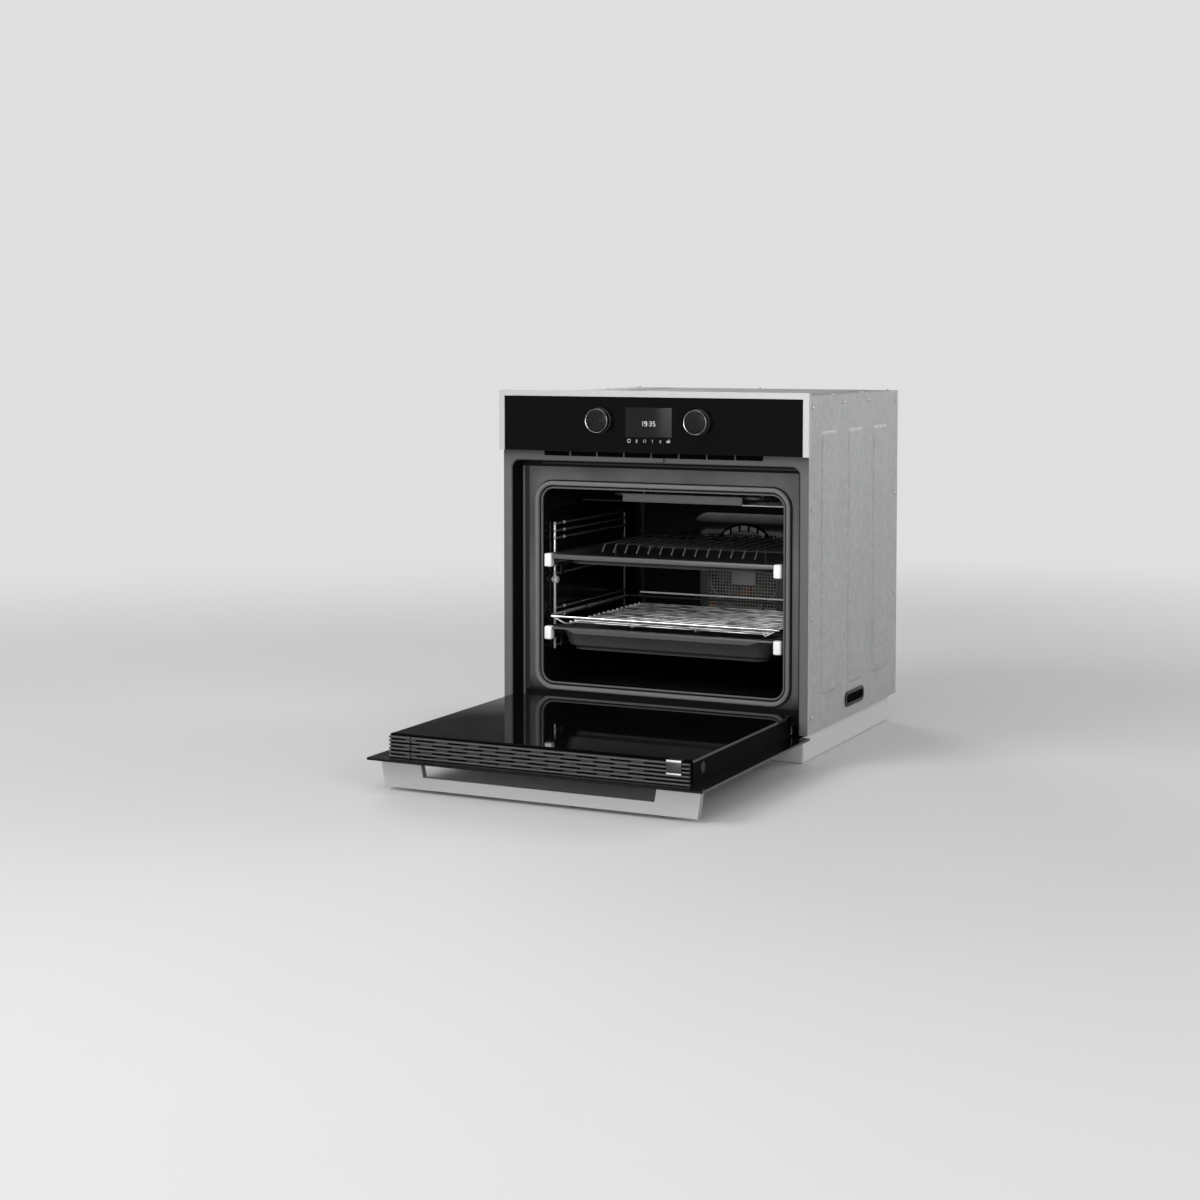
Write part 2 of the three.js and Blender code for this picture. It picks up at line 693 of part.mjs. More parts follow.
function grillElement() {
  return heatingTube([
    [GRILL_OUTER_X, GRILL_FRONT], [GRILL_OUTER_X, GRILL_FAR], [GRILL_INNER_X, GRILL_FAR],
    [GRILL_INNER_X, GRILL_NEAR], [GRILL_TERMINAL_X, GRILL_NEAR], [GRILL_TERMINAL_X, TERMINAL_BACK],
  ], GRILL_Z);
}

function bottomElement() {
  return heatingTube([
    [FLOOR_ELEMENT_X, FLOOR_ELEMENT_FRONT], [FLOOR_ELEMENT_X, FLOOR_ELEMENT_FAR],
    [FLOOR_TERMINAL_X, FLOOR_ELEMENT_FAR], [FLOOR_TERMINAL_X, FLOOR_TERMINAL_BACK],
  ], muffleUnderside - FLOOR_ELEMENT_DROP);
}

function ringElement() {
  const ring = new THREE.TorusGeometry(RING_R, ELEMENT_R, 6, 24).rotateX(Math.PI / 2);
  const terminals = [-1, 1].map((side) =>
    rodY(ELEMENT_R, RING_Y, TERMINAL_BACK, side * RING_TERMINAL_X, FAN_Z + RING_R, 8));
  return made([ring.translate(0, RING_Y, FAN_Z), ...terminals]);
}

function grillShield() {
  const top = SHIELD_Z + SHIELD_T;
  const openHalf = SHIELD_LIP_W / 2 - SHIELD_HANGER_INSET;
  const hangers = [-1, 1].flatMap((side) => SHIELD_HANGER_Y.map((y) =>
    rodZ(SHIELD_HANGER_R, SHIELD_Z, CAVITY_TOP - GAP,
      side * (SHIELD_LIP_W / 2 + SHIELD_HANGER_INSET), y, 8)));
  return made([
    slab(SHIELD_W, SHIELD_FRONT, SHIELD_BACK, SHIELD_Z, top),
    slab(SHIELD_LIP_W, SHIELD_FRONT, SHIELD_FRONT + SHIELD_T, SHIELD_Z, SHIELD_Z + SHIELD_LIP_H),
    ...hangers,
  ], [slab(2 * openHalf, SHIELD_FRONT + SHIELD_RIM, SHIELD_BACK - SHIELD_RIM, SHIELD_Z - OVER,
    top + OVER)]);
}

piece(oven, 'grill_element', grillElement(), 'elementSteel');
piece(oven, 'bottom_element', bottomElement(), 'elementSteel');
piece(oven, 'ring_element', ringElement(), 'elementSteel');
piece(oven, 'grill_shield', grillShield(), 'enamel');

// ---------------------------------------------------------------- fan, baffle and lamp
const baffleFoot = CAVITY_BACK - GAP;
const baffleDepth = baffleFoot - BAFFLE_FRONT;

function baffleDome(inset) {
  const [w, h] = [BAFFLE_W / 2 - inset, BAFFLE_H / 2 - inset];
  const dome = flared(roundedRect(-w, w, -h, h, BAFFLE_R), baffleDepth - inset, BAFFLE_FLARE);
  return dome.rotateX(-Math.PI / 2).translate(0, baffleFoot, FAN_Z);
}

function fanBaffle() {
  const half = BAFFLE_HOLE / 2;
  const holes = [];
  for (let i = -BAFFLE_HOLE_COLUMNS; i <= BAFFLE_HOLE_COLUMNS; i += 1) {
    for (let j = -BAFFLE_HOLE_ROWS; j <= BAFFLE_HOLE_ROWS; j += 1) {
      const isPlain = Math.abs(i) <= BAFFLE_PLAIN && Math.abs(j) <= BAFFLE_PLAIN;
      if (isPlain) continue;
      const [x, z] = [i * BAFFLE_HOLE_PITCH, FAN_Z + j * BAFFLE_HOLE_PITCH];
      holes.push(block(x - half, x + half, BAFFLE_FRONT - OVER, BAFFLE_FRONT + OVER, z - half,
        z + half));
    }
  }
  const behind = slab(2 * BAFFLE_W, baffleFoot, baffleFoot + 2 * baffleDepth, FAN_Z - BAFFLE_H,
    FAN_Z + BAFFLE_H);
  return made([baffleDome(0)], [baffleDome(SHEET), behind, ...holes]);
}

function fanImpeller() {
  const plateBack = FAN_PLATE_Y + FAN_PLATE_T;
  const blade = block(FAN_BLADE_IN, FAN_R, FAN_FRONT, FAN_PLATE_Y + FAN_PLATE_T / 2,
    -FAN_BLADE_T / 2, FAN_BLADE_T / 2);
  return made([
    rodY(FAN_R, FAN_PLATE_Y, plateBack, 0, FAN_Z, 30),
    rodY(FAN_HUB_R, FAN_HUB_Y, plateBack, 0, FAN_Z, 16),
    rodY(MOTOR_SHAFT_R, FAN_PLATE_Y, FAN_SHAFT_BACK, 0, FAN_Z, 12),
    ...aroundY(blade, FAN_BLADES, 0, FAN_Z),
  ]);
}

function fanMotor() {
  const front = rearWallBack + GAP;
  return made([
    rodY(FAN_MOTOR_PLATE_R, front, front + FRAME_T, 0, FAN_Z, 24),
    rodY(FAN_MOTOR_R, front, FAN_MOTOR_BACK, 0, FAN_Z, 24),
  ], [rodY(MOTOR_SHAFT_R + MOTOR_SHAFT_CLEAR, front - OVER, FAN_SHAFT_BACK + MOTOR_SHAFT_END, 0,
    FAN_Z, 16)]);
}

function lampSocket() {
  const seat = rearWallBack + GAP;
  return made([
    rodY(LAMP_R, seat, LAMP_BACK, LAMP_X, LAMP_Z),
    rodY(LAMP_NECK_R, CAVITY_BACK - LAMP_NECK_REACH, LAMP_BACK, LAMP_X, LAMP_Z),
  ]);
}

function lampLens() {
  const back = CAVITY_BACK - GAP;
  return made([rodY(LENS_R, back - LENS_D, back, LAMP_X, LAMP_Z, 24)],
    [rodY(LENS_R - LENS_T, back - LENS_D + LENS_T, back + OVER, LAMP_X, LAMP_Z, 24)]);
}

piece(oven, 'fan_baffle', fanBaffle(), 'enamel');
piece(oven, 'fan_impeller', fanImpeller(), 'galvanised');
piece(oven, 'fan_motor', fanMotor(), 'galvanised');
piece(oven, 'lamp_socket', lampSocket(), 'whitePlastic');
piece(oven, 'lamp_lens', lampLens(), 'clearGlass');

// ---------------------------------------------------------------- cooling blower and duct
const ductHalf = SLOT_W / 2 + DUCT_SIDE;
const ductTop = SLOT_HIGH + DUCT_LIP + DUCT_T;
const ductMouthLow = SLOT_LOW - DUCT_LIP - DUCT_T;

// The duct's outline from the side, moved inwards by a wall's thickness.
function ductOutline(mouth, wall) {
  const back = DUCT_BACK - wall;
  return outline([
    [mouth, ductMouthLow + wall], [DUCT_RAMP_START + wall / 2, ductMouthLow + wall],
    [DUCT_RAMP_END + wall / 2, DUCT_LOW + wall], [back, DUCT_LOW + wall], [back, ductTop - wall],
    [mouth, ductTop - wall],
  ]);
}

function airDuct() {
  const mouth = FRAME_Y + FRAME_T + GAP;
  const throatHalf = BLOWER_THROAT_W / 2 - DUCT_T;
  return made([alongX(ductOutline(mouth, 0), -ductHalf, ductHalf)], [
    alongX(ductOutline(mouth - OVER, DUCT_T), DUCT_T - ductHalf, ductHalf - DUCT_T),
    slab(2 * throatHalf, DUCT_BACK - OVER, DUCT_BACK + OVER, DUCT_LOW + DUCT_T, ductTop - DUCT_T),
  ]);
}

function blowerHousing() {
  const front = DUCT_BACK + GAP;
  const [low, top] = [DUCT_LOW + DUCT_T, ductTop - DUCT_T];
  return made([
    rodZ(BLOWER_R, DUCT_LOW, ductTop, 0, BLOWER_Y, 32),
    slab(BLOWER_THROAT_W, front, BLOWER_Y, DUCT_LOW, ductTop),
  ], [
    rodZ(BLOWER_R - DUCT_T, low, top, 0, BLOWER_Y, 32),
    slab(BLOWER_THROAT_W - 2 * DUCT_T, front - OVER, BLOWER_Y, low, top),
    rodZ(BLOWER_INLET_R, top - OVER, ductTop + OVER, 0, BLOWER_Y, 24),
  ]);
}

function blowerRotor() {
  const [floor, rim] = [DUCT_LOW + BLOWER_FLOOR, ductTop - BLOWER_HEADROOM];
  const blade = block(BLOWER_ROTOR_R - BLOWER_BLADE_D, BLOWER_ROTOR_R, -BLOWER_BLADE_T / 2,
    BLOWER_BLADE_T / 2, floor + BLOWER_PLATE_T / 2, rim);
  return made([
    rodZ(BLOWER_ROTOR_R, floor, floor + BLOWER_PLATE_T, 0, BLOWER_Y, 30),
    rodZ(BLOWER_HUB_R, floor, rim, 0, BLOWER_Y, 16),
    rodZ(MOTOR_SHAFT_R, floor, BLOWER_SHAFT_TOP, 0, BLOWER_Y, 12),
    ...aroundZ(blade, BLOWER_BLADES, 0, BLOWER_Y),
  ]);
}

function blowerMotor() {
  const foot = ductTop + GAP;
  const armTop = BLOWER_MOTOR_LOW + BLOWER_ARM_T;
  const half = BLOWER_ARM_W / 2;
  const arm = block(0, BLOWER_ARM_REACH, -half, half, BLOWER_MOTOR_LOW, armTop);
  const leg = block(BLOWER_ARM_REACH - BLOWER_ARM_T, BLOWER_ARM_REACH, -half, half, foot, armTop);
  return made([
    rodZ(BLOWER_MOTOR_R, BLOWER_MOTOR_LOW, BLOWER_MOTOR_TOP, 0, BLOWER_Y, 24),
    ...aroundZ(arm, 3, 0, BLOWER_Y),
    ...aroundZ(leg, 3, 0, BLOWER_Y),
  ], [rodZ(MOTOR_SHAFT_R + MOTOR_SHAFT_CLEAR, BLOWER_MOTOR_LOW - OVER,
    BLOWER_SHAFT_TOP + MOTOR_SHAFT_END, 0, BLOWER_Y, 16)]);
}

piece(oven, 'air_duct', airDuct(), 'galvanised');
piece(oven, 'blower_housing', blowerHousing(), 'galvanised');
piece(oven, 'blower_rotor', blowerRotor(), 'blackPlastic');
piece(oven, 'blower_motor', blowerMotor(), 'galvanised');

// ---------------------------------------------------------------- control panel
const trimInnerHalf = FRONT_W / 2 - TRIM_W;
const housingTop = CASE_TOP - SHEET - GAP;
const glassBack = PANEL_GLASS_FRONT + PANEL_GLASS_T;

function trimStrip() {
  const behind = FRAME_Y - GAP;
  const skirtHalf = FRONT_W / 2 - TRIM_SKIRT;
  return made([slab(FRONT_W, 0, behind, PANEL_LOW, FRONT_TOP)], [
    slab(2 * trimInnerHalf, -OVER, TRIM_T + OVER, PANEL_LOW - OVER, FRONT_TOP - TRIM_W),
    slab(2 * skirtHalf, TRIM_T, behind + OVER, PANEL_LOW - OVER, FRONT_TOP - TRIM_SKIRT),
  ]);
}

function panelGlass() {
  const holes = Object.values(SIDES).map((side) =>
    rodY(SHAFT_R + SHAFT_HOLE_CLEAR, PANEL_GLASS_FRONT - OVER, glassBack + OVER, side * KNOB_X,
      KNOB_Z, 16));
  return made([slab(2 * (trimInnerHalf - GAP), PANEL_GLASS_FRONT, glassBack, PANEL_LOW + GAP,
    FRONT_TOP - TRIM_W - GAP)], holes);
}

function controlHousing() {
  const [front, back] = [glassBack + GAP, CHASSIS_FRONT + HOUSING_LAP];
  return made([slab(2 * baseHalf, front, back, HOUSING_LOW, housingTop)], [
    slab(2 * (baseHalf - SHEET), front - OVER, back - SHEET, HOUSING_LOW + SHEET,
      housingTop - SHEET),
  ]);
}

function displayModule() {
  return slab(DISPLAY_W, glassBack + GAP, BOARD_Y - GAP, DISPLAY_LOW, DISPLAY_TOP);
}

function controlBoard() {
  const half = ENCODER_W / 2;
  const encoders = Object.values(SIDES).flatMap((side) => [
    block(side * KNOB_X - half, side * KNOB_X + half, ENCODER_Y, BOARD_Y + BOARD_T / 2,
      KNOB_Z - half, KNOB_Z + half),
    rodY(SHAFT_R, -SHAFT_FRONT, BOARD_Y, side * KNOB_X, KNOB_Z, 12),
  ]);
  return made([slab(BOARD_W, BOARD_Y, BOARD_Y + BOARD_T, BOARD_LOW, BOARD_TOP), ...encoders]);
}

function knob(side) {
  const x = side * KNOB_X;
  const back = -GAP;
  return made([
    rodY(KNOB_R, -KNOB_REACH, back, x, KNOB_Z, 24),
    rodY(KNOB_SKIRT_R, back - KNOB_SKIRT_T, back, x, KNOB_Z, 24),
  ], [rodY(SHAFT_R + SHAFT_CLEAR, -SHAFT_FRONT - SHAFT_CLEAR, OVER, x, KNOB_Z, 16)]);
}

function terminalBlock() {
  const front = CASE_BACK + GAP;
  const entry = rodZ(CABLE_R, TERMINAL_LOW - OVER, TERMINAL_LOW + CABLE_DEPTH, TERMINAL_X,
    front + TERMINAL_D / 2, 16);
  return made([block(TERMINAL_X - TERMINAL_W / 2, TERMINAL_X + TERMINAL_W / 2, front,
    front + TERMINAL_D, TERMINAL_LOW, TERMINAL_TOP)], [entry]);
}

piece(oven, 'trim_strip', trimStrip(), 'stainless');
piece(oven, 'panel_glass', panelGlass(), 'blackGlass');
piece(oven, 'control_housing', controlHousing(), 'galvanised');
piece(oven, 'display_module', displayModule(), 'blackPlastic');
piece(oven, 'control_board', controlBoard(), 'boardGreen');
for (const [name, side] of Object.entries(SIDES)) {
  piece(oven, `knob_${name}`, knob(side), 'blackPlastic');
}
piece(oven, 'terminal_block', terminalBlock(), 'blackPlastic');

// ---------------------------------------------------------------- side racks and runners
function sideRack(side) {
  const top = RUNG_HEIGHTS.at(-1) + RACK_WIRE_R;
  const posts = [RACK_FRONT, RACK_BACK].map((y) =>
    rodZ(RACK_WIRE_R, RACK_LOW, top, side * RACK_POST_X, y, 6));
  const rungs = RUNG_HEIGHTS.map((z) =>
    rodY(RACK_WIRE_R, RACK_FRONT - RACK_OVERHANG, RACK_BACK + RACK_OVERHANG, side * RACK_X, z, 6));
  const nut = rodX(RACK_NUT_R, side * (RACK_POST_X - RACK_NUT_R), side * (CAVITY_W / 2 - GAP),
    RACK_FRONT, RACK_NUT_Z, 12);
  return made([...posts, ...rungs, nut]);
}

function fixedRail(side, z) {
  const [inner, outer] = [side * RAIL_X, side * (RAIL_X + RAIL_W)];
  const web = side * (RAIL_X + RAIL_W - RAIL_T);
  const [low, top] = [z - RAIL_H / 2, z + RAIL_H / 2];
  const clipFace = side * (RACK_X - RACK_WIRE_R - GAP);
  const clips = CLIP_PLATE_Y.map((y) =>
    block(clipFace, clipFace - side * CLIP_PLATE_T, y, y + CLIP_PLATE_W, low - CLIP_PLATE_DROP,
      low + RAIL_T));
  return made([block(inner, outer, RAIL_FRONT, RAIL_BACK, low, top), ...clips], [
    block(inner - side * OVER, web, RAIL_FRONT - OVER, RAIL_BACK + OVER, low + RAIL_T,
      top - RAIL_T),
  ]);
}

// The moving rail with the ledge that carries the tray and the stop at its front end.
function slideRail(side, z) {
  const reach = RAIL_H / 2 - RAIL_T - RAIL_PLAY;
  const back = STOP_FRONT + STOP_T;
  const front = back - TRAY_LIP_T;
  const barIn = side * (RAIL_X + RAIL_PLAY);
  const barOut = side * (RAIL_X + RAIL_W - RAIL_T - RAIL_PLAY);
  const ledgeLow = z + reach - RAIL_T;
  return made([
    block(barIn, barOut, front, SLIDE_BACK, z - reach, z + reach),
    block(side * LEDGE_IN, barOut, front, SLIDE_BACK, ledgeLow, z + reach),
    block(side * LEDGE_IN, side * (RAIL_X - RAIL_PLAY), front, SLIDE_BACK, ledgeLow, z + LEDGE_RISE),
    block(side * STOP_IN, side * STOP_OUT, STOP_FRONT, back, z - STOP_H / 2, z + STOP_H / 2),
  ]);
}

for (const [name, side] of Object.entries(SIDES)) {
  piece(oven, `side_rack_${name}`, sideRack(side), 'chrome');
  piece(oven, `runner_rail_upper_${name}`, fixedRail(side, UPPER_Z), 'stainless');
  piece(oven, `runner_rail_lower_${name}`, fixedRail(side, LOWER_Z), 'stainless');
  piece(oven, `slide_upper_${name}`, slideRail(side, UPPER_Z), 'chrome');
  piece(oven, `slide_lower_${name}`, slideRail(side, LOWER_Z), 'chrome');
}

// ---------------------------------------------------------------- trays, grid and shelf
const rimLow = (z) => z + LEDGE_RISE + GAP; // underside of a tray's rim

function bakingTray(z, depth, flare, lip) {
  const rimTop = rimLow(z) + TRAY_RIM_T;
  const lipHalf = STOP_IN - TRAY_SIDE_CLEAR;
  const rimFront = STOP_FRONT + STOP_T + TRAY_SIDE_CLEAR;
  const lipBack = TRAY_FRONT + TRAY_LIP_T;
  const bottom = (inset) => roundedRect(-TRAY_BODY_W / 2 + flare + inset,
    TRAY_BODY_W / 2 - flare - inset, TRAY_BODY_FRONT + flare + inset,
    TRAY_BODY_BACK - flare - inset, TRAY_BODY_R);
  const shell = (inset) => flared(bottom(inset), depth - inset, flare).translate(0, 0, rimTop);
  return made([
    shell(0),
    slab(TRAY_W, rimFront, TRAY_BACK, rimLow(z), rimTop),
    slab(2 * lipHalf, TRAY_FRONT, rimFront + OVER, rimLow(z), rimTop),
    slab(2 * lipHalf, TRAY_FRONT, lipBack, rimTop - lip / 2, rimTop),
    slab(2 * (lipHalf - TRAY_CORNER), TRAY_FRONT, lipBack, rimTop - lip, rimTop),
  ], [
    shell(TRAY_RIM_T),
    slab(2 * TRAY_W, 0, 2 * TRAY_BACK, rimTop, rimTop + 2 * depth),
  ]);
}

function roastingGrid() {
  const trayFloor = rimLow(UPPER_Z) + 2 * TRAY_RIM_T - SHALLOW_DEPTH;
  const barTop = GRID_TOP - GRID_WIRE_R / 2;
  const barLow = barTop - GRID_FOOT_R - GRID_WIRE_R;
  const wires = Array.from({ length: GRID_WIRES }, (_, i) => {
    const x = (i - (GRID_WIRES - 1) / 2) * GRID_PITCH;
    return tube([
      [x, GRID_FRONT - GRID_DROP, GRID_TOP - GRID_DROP], [x, GRID_FRONT, GRID_TOP],
      [x, GRID_BACK, GRID_TOP],
    ], GRID_BEND, GRID_WIRE_R, { bendSteps: 1 });
  });
  return made([
    ...wires,
    ...GRID_FOOT_Y.map((y) => slab(2 * (GRID_FOOT_X + GRID_BAR_END), y - GRID_FOOT_R,
      y + GRID_FOOT_R, barLow, barTop)),
    ...GRID_FOOT_Y.flatMap((y) => [-1, 1].map((side) =>
      rodZ(GRID_FOOT_R, trayFloor + GAP, barLow + GRID_WIRE_R, side * GRID_FOOT_X, y, 6))),
  ]);
}

function wireShelf() {
  const barZ = SHELF_Z - SHELF_DROP;
  const carrierZ = barZ - 1.5 * SHELF_BAR_R;
  const bars = Array.from({ length: SHELF_BARS }, (_, i) =>
    rodX(SHELF_BAR_R, -SHELF_BAR_HALF, SHELF_BAR_HALF,
      SHELF_FRONT + SHELF_FIRST_BAR + i * SHELF_BAR_PITCH, barZ, 6));
  const carriers = SHELF_CARRIER_X.flatMap((x) => [-x, x]).map((x) => tube([
    [x, SHELF_FRONT, SHELF_Z], [x, SHELF_FRONT + SHELF_CARRIER_RUN, carrierZ],
    [x, SHELF_BACK - SHELF_CARRIER_RUN, carrierZ], [x, SHELF_BACK, SHELF_Z],
  ], GRID_BEND, SHELF_BAR_R, { bendSteps: 1 }));
  const ends = [SHELF_FRONT, SHELF_BACK].map((y) =>
    rodX(RACK_WIRE_R, -SHELF_HALF, SHELF_HALF, y, SHELF_Z, 6));
  const sides = [-1, 1].map((side) =>
    rodY(RACK_WIRE_R, SHELF_FRONT, SHELF_BACK, side * SHELF_HALF, SHELF_Z, 6));
  const posts = [-1, 1].map((side) =>
    rodZ(RACK_WIRE_R, SHELF_Z, SHELF_Z + SHELF_GUARD_RISE, side * SHELF_GUARD_HALF, SHELF_BACK, 6));
  return made([
    ...bars, ...carriers, ...ends, ...sides, ...posts,
    rodX(RACK_WIRE_R, -SHELF_GUARD_HALF, SHELF_GUARD_HALF, SHELF_BACK, SHELF_Z + SHELF_GUARD_RISE, 6),
  ]);
}

piece(oven, 'shallow_tray', bakingTray(UPPER_Z, SHALLOW_DEPTH, SHALLOW_FLARE, SHALLOW_LIP), 'enamel');
piece(oven, 'deep_tray', bakingTray(LOWER_Z, DEEP_DEPTH, DEEP_FLARE, DEEP_LIP), 'enamel');
piece(oven, 'roasting_grid', roastingGrid(), 'chrome');
piece(oven, 'wire_shelf', wireShelf(), 'chrome');

// ---------------------------------------------------------------- hinges
const bodyFront = GLASS_T + GAP;
const cheekIn = HINGE_ARM_T / 2 + HINGE_CHEEK_CLEAR; // from the arm's middle to a cheek
const springY = HINGE_Y + SPRING_BEHIND;

function hingeArm(side) {
  const x = side * HINGE_X;
  const [x0, x1] = [x - HINGE_ARM_T / 2, x + HINGE_ARM_T / 2];
  return made([
    rodX(HINGE_EYE_R, x0, x1, HINGE_Y, HINGE_Z, 24),
    block(x0, x1, HINGE_Y, HINGE_ARM_BACK, HINGE_Z - HINGE_ARM_H / 2, HINGE_Z + HINGE_ARM_H / 2),
    block(x - HINGE_FOOT_W / 2, x + HINGE_FOOT_W / 2, HINGE_FOOT_FRONT, HINGE_ARM_BACK, SHEET + GAP,
      HINGE_Z),
  ], [rodX(HINGE_PIN_R + HINGE_PIN_CLEAR, x0 - OVER, x1 + OVER, HINGE_Y, HINGE_Z, 24)]);
}

function hingeHousing(side) {
  const x = side * HINGE_X;
  const front = bodyFront + PROFILE_T + GAP;
  const cheeks = [-1, 1].flatMap((end) => {
    const [x0, x1] = [x + end * cheekIn, x + end * (cheekIn + HINGE_CHEEK_T)];
    return [
      rodX(HINGE_EYE_R, x0, x1, HINGE_Y, HINGE_Z, 24),
      block(x0, x1, HINGE_Y - HINGE_NECK_D / 2, HINGE_Y + HINGE_NECK_D / 2, HINGE_Z,
        HINGE_NECK_TOP + OVER),
      block(x0, x1, front, HINGE_HOUSING_BACK, HINGE_NECK_TOP, HINGE_HOUSING_TOP),
    ];
  });
  const span = cheekIn + HINGE_CHEEK_T;
  const anchorHalf = cheekIn + HINGE_CHEEK_T / 2;
  const anchors = [SPRING_LOW - GAP - SPRING_ANCHOR, SPRING_TOP + GAP].map((z) =>
    block(x - anchorHalf, x + anchorHalf, springY - SPRING_ANCHOR, springY + SPRING_ANCHOR, z,
      z + SPRING_ANCHOR));
  return made([
    ...cheeks,
    block(x - span, x + span, front, front + HINGE_CHEEK_T, HINGE_NECK_TOP + HINGE_CHEEK_T,
      HINGE_HOUSING_TOP),
    rodX(HINGE_PIN_R, x - span, x + span, HINGE_Y, HINGE_Z, 20),
    ...anchors,
  ]);
}

function hingeSpring(side) {
  return rodZ(SPRING_R, SPRING_LOW, SPRING_TOP, side * HINGE_X, springY, 12);
}

for (const [name, side] of Object.entries(SIDES)) {
  piece(oven, `hinge_arm_${name}`, hingeArm(side), 'galvanised');
}

// ---------------------------------------------------------------- door
// The hinge group stands on the hinge axis and is turned so that the door lies open.
const hinge = new THREE.Group();
hinge.position.set(0, HINGE_Y, HINGE_Z);
hinge.rotation.x = Math.PI / 2;
const door = new THREE.Group();
door.position.set(0, -HINGE_Y, -HINGE_Z);
hinge.add(door);
oven.add(hinge);

const bodyHalf = DOOR_BODY_W / 2;
const ventLow = DOOR_BODY_TOP - VENT_H;
const innerGlassTop = ventLow - GAP;
const innerGlassFront = DOOR_T - GLASS_T;
const columnIn = bodyHalf - COLUMN_W;

function innerGlass() {
  return slab(DOOR_BODY_W - 2 * GAP, innerGlassFront, DOOR_T, COLUMN_LOW, innerGlassTop);
}

function middleGlass() {
  return slab(2 * (columnIn - VENT_WALL), MIDDLE_GLASS_Y, MIDDLE_GLASS_Y + GLASS_T, MIDDLE_GLASS_LOW,
    innerGlassTop - VENT_WALL);
}

function doorColumn(side) {
  const [front, back] = [bodyFront, innerGlassFront - GAP];
  return made([block(side * columnIn, side * bodyHalf, front, back, COLUMN_LOW, innerGlassTop)], [
    block(side * (columnIn - OVER), side * (bodyHalf - PROFILE_T), front + PROFILE_T,
      back - PROFILE_T, COLUMN_LOW - OVER, innerGlassTop + OVER),
  ]);
}

function ventProfile() {
  const [front, back] = [bodyFront, DOOR_T + GAP];
  const pitch = (back - front) / VENT_RIDGES;
  const grooves = Array.from({ length: VENT_RIDGES - 1 }, (_, i) => {
    const y = front + (i + 1) * pitch;
    return slab(DOOR_BODY_W + OVER, y - VENT_GROOVE / 2, y + VENT_GROOVE / 2,
      DOOR_BODY_TOP - VENT_GROOVE_DEPTH, DOOR_BODY_TOP + OVER);
  });
  const hollow = slab(DOOR_BODY_W - 2 * VENT_END_WALL, front + VENT_WALL, back - VENT_WALL,
    ventLow - OVER, DOOR_BODY_TOP - VENT_GROOVE_DEPTH - VENT_WALL);
  return made([slab(DOOR_BODY_W, front, back, ventLow, DOOR_BODY_TOP)], [hollow, ...grooves]);
}

function bottomProfile() {
  const half = columnIn - BOTTOM_PROFILE_T;
  const [front, back] = [bodyFront + GAP, innerGlassFront - GAP];
  const top = MIDDLE_GLASS_LOW - BOTTOM_PROFILE_T;
  return made([slab(2 * half, front, back, BOTTOM_PROFILE_LOW, top)], [
    slab(2 * (half - BOTTOM_PROFILE_T), front + PROFILE_T, back - PROFILE_T,
      BOTTOM_PROFILE_LOW + BOTTOM_PROFILE_T, top + OVER),
  ]);
}

function doorHandle() {
  const [near, far, bar] = [-GAP, -HANDLE_REACH, HANDLE_BAR - HANDLE_REACH];
  const half = HANDLE_W / 2;
  const window = half - HANDLE_MOUNT_W;
  return alongZ(outline([
    [-half, near], [-half + HANDLE_TAPER, far], [half - HANDLE_TAPER, far], [half, near],
    [window, near], [window - HANDLE_MOUNT_TAPER, bar], [-window + HANDLE_MOUNT_TAPER, bar],
    [-window, near],
  ]), HANDLE_TOP - HANDLE_T, HANDLE_TOP);
}

function doorClip() {
  const top = DOOR_BODY_TOP + GAP;
  const face = DOOR_T + 2 * GAP;
  return made([
    block(CLIP_IN, CLIP_OUT, CLIP_FRONT, face + SHEET, top, top + SHEET),
    block(CLIP_IN, CLIP_OUT, face, face + SHEET, top - CLIP_H, top + SHEET),
  ]);
}

piece(door, 'door_outer_glass', slab(FRONT_W, 0, GLASS_T, DOOR_LOW, DOOR_TOP), 'blackGlass');
piece(door, 'door_middle_glass', middleGlass(), 'clearGlass');
piece(door, 'door_inner_glass', innerGlass(), 'blackGlass');
piece(door, 'door_vent_profile', ventProfile(), 'blackPlastic');
piece(door, 'door_bottom_profile', bottomProfile(), 'blackPlastic');
piece(door, 'door_handle', doorHandle(), 'aluminium');
piece(door, 'door_clip', doorClip(), 'stainless');
for (const [name, side] of Object.entries(SIDES)) {
  piece(door, `door_column_${name}`, doorColumn(side), 'blackPlastic');
  piece(door, `hinge_housing_${name}`, hingeHousing(side), 'galvanised');
  piece(door, `hinge_spring_${name}`, hingeSpring(side), 'galvanised');
}

export default oven;
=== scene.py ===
import math
from itertools import product

import bmesh
import bpy
from mathutils import Matrix, Vector


